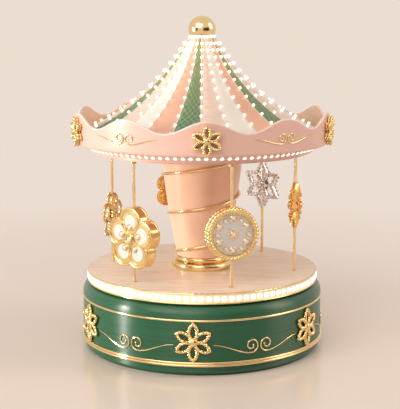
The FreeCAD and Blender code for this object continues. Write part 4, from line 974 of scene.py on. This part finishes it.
def plate(outline, half):
    """A flat form with an outline in the front plane and a fan on each face."""
    count = len(outline)
    front, back = moved(outline, 0, -half, 0), moved(outline, 0, half, 0)
    points = np.vstack([front, back, [[0, -half, 0], [0, half, 0]]])
    faces = []
    for index in range(count):
        following = (index + 1) % count
        faces.append((index, following, following + count, index + count))
        faces.append((index, 2 * count, following))
        faces.append((index + count, following + count, 2 * count + 1))
    return points, faces


def blossom_outline(petals, radius, distance, per_petal):
    """The outer edge of round petals that run into each other."""
    half = math.pi / petals
    notch = distance * math.cos(half) + math.sqrt(radius ** 2 - (distance * math.sin(half)) ** 2)
    reach = math.atan2(notch * math.sin(half), notch * math.cos(half) - distance)
    angles = np.linspace(-reach, reach, per_petal)[:-1]
    petal = np.column_stack([radius * np.sin(angles), np.zeros(len(angles)),
                             distance + radius * np.cos(angles)])
    return np.vstack([spun(petal, angle) for angle in turns(petals)])


def domed_hub(piece, radius, face, height):
    add_both(piece, shaped(facing_out, lathe(dome_profile(radius, height, base=-0.5), 20), 0, -face, 0))


def medallion():
    """Two twisted ropes and a row of beads round a pearl disc with set stones on each face."""
    inner, outer, half, pearl_face = 13.3, 15.0, 3.7, 3.0
    rope_circle, rope_radius, rope_y = 15.2, 1.42, 2.5
    stone_count, stone_circle, stone_radii = 12, 9.9, (1.55, 1.1)
    piece = Piece("medallion_dressed", "rope_gold", "pearl", "stone")
    wall = lathe([(inner, -half), (outer, -half), (outer, half), (inner, half)], 72, closed=True)
    piece.add(shaped(facing_out, wall))
    for side in (-1, 1):
        piece.add(twisted(ring_path(rope_circle, side * rope_y, 220), rope_radius, 12, pitch=4.6))
    add_beads(piece, 0.8, ring_path(15.3, 0.0, 56), Piece.add)
    pearl = lathe([(13.5, -0.5), (13.5, 0.0), (11.0, 0.2), (6.0, 0.45), (0, 0.5)], 60)
    add_both(piece, shaped(facing_out, pearl, 0, -pearl_face, 0), "pearl")
    add_beads(piece, 0.5, ring_path(12.7, -3.5, 60))
    for index, angle in enumerate(turns(stone_count)):
        add_stone(piece, stone_radii[index % 2], 3.3, stone_circle, angle)
    add_stone(piece, 1.5, face=3.5)
    add_beads(piece, 0.55, ring_path(2.9, -3.6, 8))
    return piece


def pearl_blossom():
    """A deep gold blossom with a pearl cell and a set stone in each petal."""
    petals, radius, distance, half = 5, 9.2, 10.6, 3.5
    cell_radius, cell_rim, stone_circle = 7.1, 7.3, 7.4
    edge_radius, edge_y = 0.7, 3.3
    piece = Piece("pearl_blossom_dressed", "rope_gold", "pearl", "stone")
    outline = blossom_outline(petals, radius, distance, 40)
    piece.add(plate(outline * (0.985, 1, 0.985), half))
    edge = outline * (0.975, 1, 0.975)
    for side in (-1, 1):
        piece.add(tube(moved(edge, 0, side * edge_y, 0), edge_radius, OUT, closed=True))
    rim = tube(ring_path(cell_rim, -half, 64, distance), 0.42, OUT, 8, closed=True)
    inlay = shaped(facing_out, lathe(dome_profile(cell_radius, 0.55, base=-0.4), 40), 0, -half, distance)
    for angle in turns(petals):
        add_both(piece, shaped(spun, rim, angle))
        add_both(piece, shaped(spun, inlay, angle), "pearl")
        add_stone(piece, 1.5, 4.0, stone_circle, angle)
    domed_hub(piece, 3.4, face=3.6, height=1.0)
    add_stone(piece, 1.7, face=4.5)
    return piece


def star_flower():
    """Pointed petals with a ridge along each, a stone on each petal and a beaded boss."""
    petals, tip, root, width, half, edge = 8, 15.5, 1.5, 7.6, 2.9, 0.5
    hub, stone_circle = 4.3, 8.2
    piece = Piece("star_flower_dressed", "amber_gold", "amber_stone")
    share = np.linspace(0, 1, 15)
    across = np.linspace(-1, 1, 9)
    spread = width / 2 * np.sin(math.pi * share ** 0.85)
    ridge = half * (0.4 + 0.6 * np.sin(math.pi * share ** 0.8))
    x = spread[:, None] * across
    y = -(edge + (ridge - edge)[:, None] * (1 - np.abs(across)) ** 0.8)
    z = np.broadcast_to((root + (tip - root) * share)[:, None], x.shape)
    face = np.column_stack([x.ravel(), y.ravel(), z.ravel()]), grid(len(share), len(across))
    rim = petal_outline(tip - 0.5, root, width - 0.6, 16)
    for angle in turns(petals):
        add_both(piece, shaped(spun, face, angle))
        piece.add(tube(spun(rim, angle), 0.62, OUT, 8, closed=True))
        add_stone(piece, 0.9, half, stone_circle, angle)
    domed_hub(piece, hub, face=2.6, height=1.3)
    add_stone(piece, 1.8, face=3.8)
    add_beads(piece, 0.55, ring_path(hub, -half, 16))
    return piece


def snowflake():
    """Bars paved with stones: spokes from the boss that open into a rhomb on each arm."""
    arms, root, valley, tip = 6, 3.4, 9.0, 15.2
    bar_radius, bar_depth, stone_sink = 1.1, 2.0, 0.1
    piece = Piece("snowflake_dressed", "silver_pave", "stone")
    stone = lathe([(1.15, -0.6), (1.12, 0.3), (0.6, 0.75), (0, 0.8)], 8)
    inner, corner = spun([[0, 0, root], [0, 0, valley]], 180.0 / arms)
    point = np.array([0, 0, tip])
    knob = shaped(moved, shaped(np.multiply, bead(1.5), (1, 1.4, 1)), *point)
    for angle in turns(arms):
        for start, end, count in ((inner, corner, 2), (corner, point, 3), (corner * (-1, 1, 1), point, 3)):
            path = start + (end - start) * np.linspace(0, 1, 9)[:, None]
            bar = shaped(np.multiply, tube(path, bar_radius, OUT, 8), (1, bar_depth, 1))
            piece.add(shaped(spun, bar, angle))
            for share in (np.arange(count) + 0.5) / count:
                x, _, z = start + (end - start) * share
                paving = shaped(facing_out, stone, x, stone_sink - bar_radius * bar_depth, z)
                add_both(piece, shaped(spun, paving, angle), "stone")
        piece.add(shaped(spun, knob, angle))
    piece.add(tube(upright_path(-14.5, 14.5), 1.5, OUT))
    domed_hub(piece, 4.2, face=2.0, height=1.2)
    for angle in turns(arms):
        add_stone(piece, 0.8, 2.7, 2.9, angle)
    add_stone(piece, 1.3, face=3.0)
    return piece


def gold_blossom():
    """Full round petals with a rope about each, and a stone boss."""
    petals, radius, distance, half = 6, 5.8, 9.6, 1.6
    piece = Piece("gold_blossom_dressed", "amber_gold", "amber_stone")
    piece.add(plate(blossom_outline(petals, radius, distance, 24) * (0.97, 1, 0.97), half))
    petal = shaped(facing_out, lathe(dome_profile(radius - 0.9, 1.4), 28), 0, -1.5, distance)
    rim = twisted(ring_path(radius - 0.7, -1.7, 48, distance), 0.75, 8, pitch=2.6, depth=0.18)
    for angle in turns(petals):
        add_both(piece, shaped(spun, petal, angle))
        add_both(piece, shaped(spun, rim, angle))
        add_stone(piece, 0.8, 2.8, distance, angle)
    domed_hub(piece, 4.2, face=half, height=1.5)
    add_stone(piece, 1.8, face=3.0)
    return piece


def open_blossom():
    """Open petals of doubled rope about a boss, on a sleeve."""
    petals, radius, distance = 5, 6.6, 8.6
    rope_radius, rope_y, sleeve_rise = 0.95, 1.35, 4.6
    piece = Piece("open_blossom_dressed", "rope_gold", "amber_stone")
    rope = twisted(ring_path(radius - rope_radius, -rope_y, 72, distance), rope_radius, 10, pitch=3.0)
    back_rope = shaped(np.multiply, rope, (1, -1, 1))
    for angle in turns(petals):
        add_both(piece, shaped(spun, rope, angle))
        piece.add(shaped(spun, back_rope, angle))
        add_stone(piece, 0.9, 2.1, distance + radius - 1.0, angle)
    piece.add(tube(upright_path(-distance, distance + sleeve_rise), 1.7, OUT, 12))
    domed_hub(piece, 4.2, face=1.8, height=1.6)
    add_stone(piece, 1.7, face=3.3)
    return piece


def charms():
    """Each charm goes to its pole's bearing and to the height at which the cam holds that pole at rest."""
    kinds = (
        (medallion, "rope_gold", "medallion", "medallion_pearls"),
        (star_flower, "amber_gold", "star_flower"),
        (snowflake, "silver_pave", "snowflake"),
        (gold_blossom, "amber_gold", "gold_blossom"),
        (open_blossom, "rope_gold", "open_blossom"),
        (pearl_blossom, "rope_gold", "pearl_blossom", "pearl_inlays"),
    )
    ranges = {joint["name"]: joint.get("range_m") for joint in frame["record"]["behaviour"]["joints"]}
    bearings = turns(pole_count, pole_first_bearing)
    for number, (bearing, (build, slot, *nodes)) in enumerate(zip(bearings, kinds), 1):
        rest = -sum(ranges[f"pole_{number}_slide"]) / 2 / MM
        piece = build()
        hung = [moved(points, 0, -pole_circle, charm_mean_z + rest) for points in piece.points]
        piece.points = [turned(points, bearing) for points in hung]
        piece.make(f"pole_{number}_body", slot, *nodes)


# Stage, light and camera

def staged(name, points, faces, material):
    """A flat thing that isn't part of the object."""
    mesh = bpy.data.meshes.new(name)
    mesh.from_pydata(points, [], faces)
    mesh.polygons.foreach_set("use_smooth", [True] * len(mesh.polygons))
    mesh.materials.append(material)
    made = in_scene(name, mesh)
    return made


def floor_paint():
    """Pale paint. Far from the object it shows as an even tone that lights nothing."""
    near, far, tone = 0.1, 0.55, (0.84, 0.72, 0.64, 1)
    made = Finish("floor_paint")
    made.ramp(made.noise(3.0), (0.3, (0.92, 0.84, 0.78)), (0.7, (0.94, 0.87, 0.81)))
    made.set(Roughness=0.2)
    away = made.span(made.vector("LENGTH", made.place)["Value"], 0.0, 1.0, (near, far))
    even = made.node("Emission", tone)
    made.finish_with("Material Output", made.math("MULTIPLY", away, made.shown()), made.shader.outputs[0],
                     even.outputs[0])
    return made.material


def floor_and_backdrop():
    """A pale floor that sweeps up into a backdrop."""
    width, front, back, sweep, top = 5.0, -4.0, 1.3, 1.2, 3.5
    profile = [(front, 0.0), (back, 0.0)]
    profile += [(back + sweep * math.sin(a), sweep - sweep * math.cos(a)) for a in arc(0, 90, 24)[1:]]
    profile.append((back + sweep, top))
    points = [(x, y, z) for y, z in profile for x in (-width, width)]
    return staged("floor", points, grid(len(profile), 2), floor_paint())


def dark_cards():
    """Dark panels behind the camera, which the polished metal mirrors between the lights."""
    distance, low, high = 1.25, 0.02, 0.62
    made = Finish("card_cloth")
    made.ramp(made.noise(60.0, detail=2.0), (0.3, (0.05, 0.026, 0.012)), (0.7, (0.08, 0.04, 0.02)))
    made.set(Roughness=0.9)
    for name, bearing, half in (("card_left", -40.0, 0.16), ("card_right", 40.0, 0.6)):
        corners = ((-half, low), (half, low), (half, high), (-half, high))
        points = turned([(x, -distance, z) for x, z in corners], bearing)
        staged(name, points.tolist(), [(0, 1, 2, 3)], made.material).visible_camera = False


def pale_world():
    """A soft fill from all round, and the pale tone that shows behind everything."""
    world = bpy.data.worlds.new("studio")
    bpy.context.scene.world = world
    made = Tree(world)
    fill = made.tree.nodes["Background"]
    made.put(fill, Color=(1.0, 0.9, 0.83, 1), Strength=0.45)
    behind = made.node("Background", (0.88, 0.77, 0.69, 1), 1.0)
    made.finish_with("World Output", made.shown(), fill.outputs[0], behind.outputs[0])


def area_light(name, bearing, elevation, distance, size, power, colour):
    target = Vector((0, 0, 0.1))
    angle, lift = math.radians(bearing), math.radians(elevation)
    away = Vector((math.sin(angle) * math.cos(lift), -math.cos(angle) * math.cos(lift), math.sin(lift)))
    data = bpy.data.lights.new(name, "AREA")
    data.shape = "RECTANGLE"
    data.size, data.size_y = size
    data.energy = power
    data.color = colour
    light = in_scene(name, data)
    light.location = target + away * distance
    light.rotation_mode = "QUATERNION"
    light.rotation_quaternion = (-away).to_track_quat("-Z", "Y")
    return light


def spare(light, floor):
    """A low lamp lights all but the floor, which would mirror it as a white band."""
    spared = bpy.data.collections.new("spared_floor")
    spared.objects.link(floor)
    spared.collection_objects[0].light_linking.link_state = "EXCLUDE"
    light.light_linking.receiver_collection = spared


def studio_light(floor):
    """A low strip that draws the highlight on the drum, a soft front light and a warm rim light."""
    strip = area_light("key_left", -72.0, 6.0, 1.4, size=(0.13, 0.5), power=16.0, colour=(1.0, 0.94, 0.86))
    spare(strip, floor)
    area_light("front_soft", -25.0, 40.0, 1.4, size=(1.2, 0.8), power=9.0, colour=(1.0, 0.9, 0.8))
    area_light("right_rim", 88.0, 28.0, 1.3, size=(0.5, 0.8), power=5.0, colour=(1.0, 0.8, 0.66))


camera_distance = 0.743
camera_height = 0.2216
camera_bearing = 3.8
camera_pitch = 9.84
axis_pixel_x = 202.0
image_size = (400, 409)
focal_pixels = 1140.0
sensor = 36.0


def photo_camera():
    """The photograph's view: a long lens at the finial's height, the axis a shade right of the centre."""
    data = bpy.data.cameras.new("camera")
    data.sensor_width = sensor
    data.lens = sensor * focal_pixels / max(image_size)
    data.clip_start, data.clip_end = 0.01, 50.0
    camera = in_scene("camera", data)
    angle = math.radians(camera_bearing)
    camera.location = (camera_distance * math.sin(angle), -camera_distance * math.cos(angle), camera_height)
    yaw = math.atan((axis_pixel_x - image_size[0] / 2) / focal_pixels)
    camera.rotation_euler = (math.radians(90 - camera_pitch), 0, angle + yaw)
    bpy.context.scene.camera = camera


bpy.context.scene.view_settings.view_transform = "Standard"
dress_solids()
base_ornament()
platform_lamps()
column_helix()
valance_skirt()
valance_lamps()
valance_ornament()
gores()
light_strings()
charms()
floor = floor_and_backdrop()
dark_cards()
pale_world()
studio_light(floor)
photo_camera()
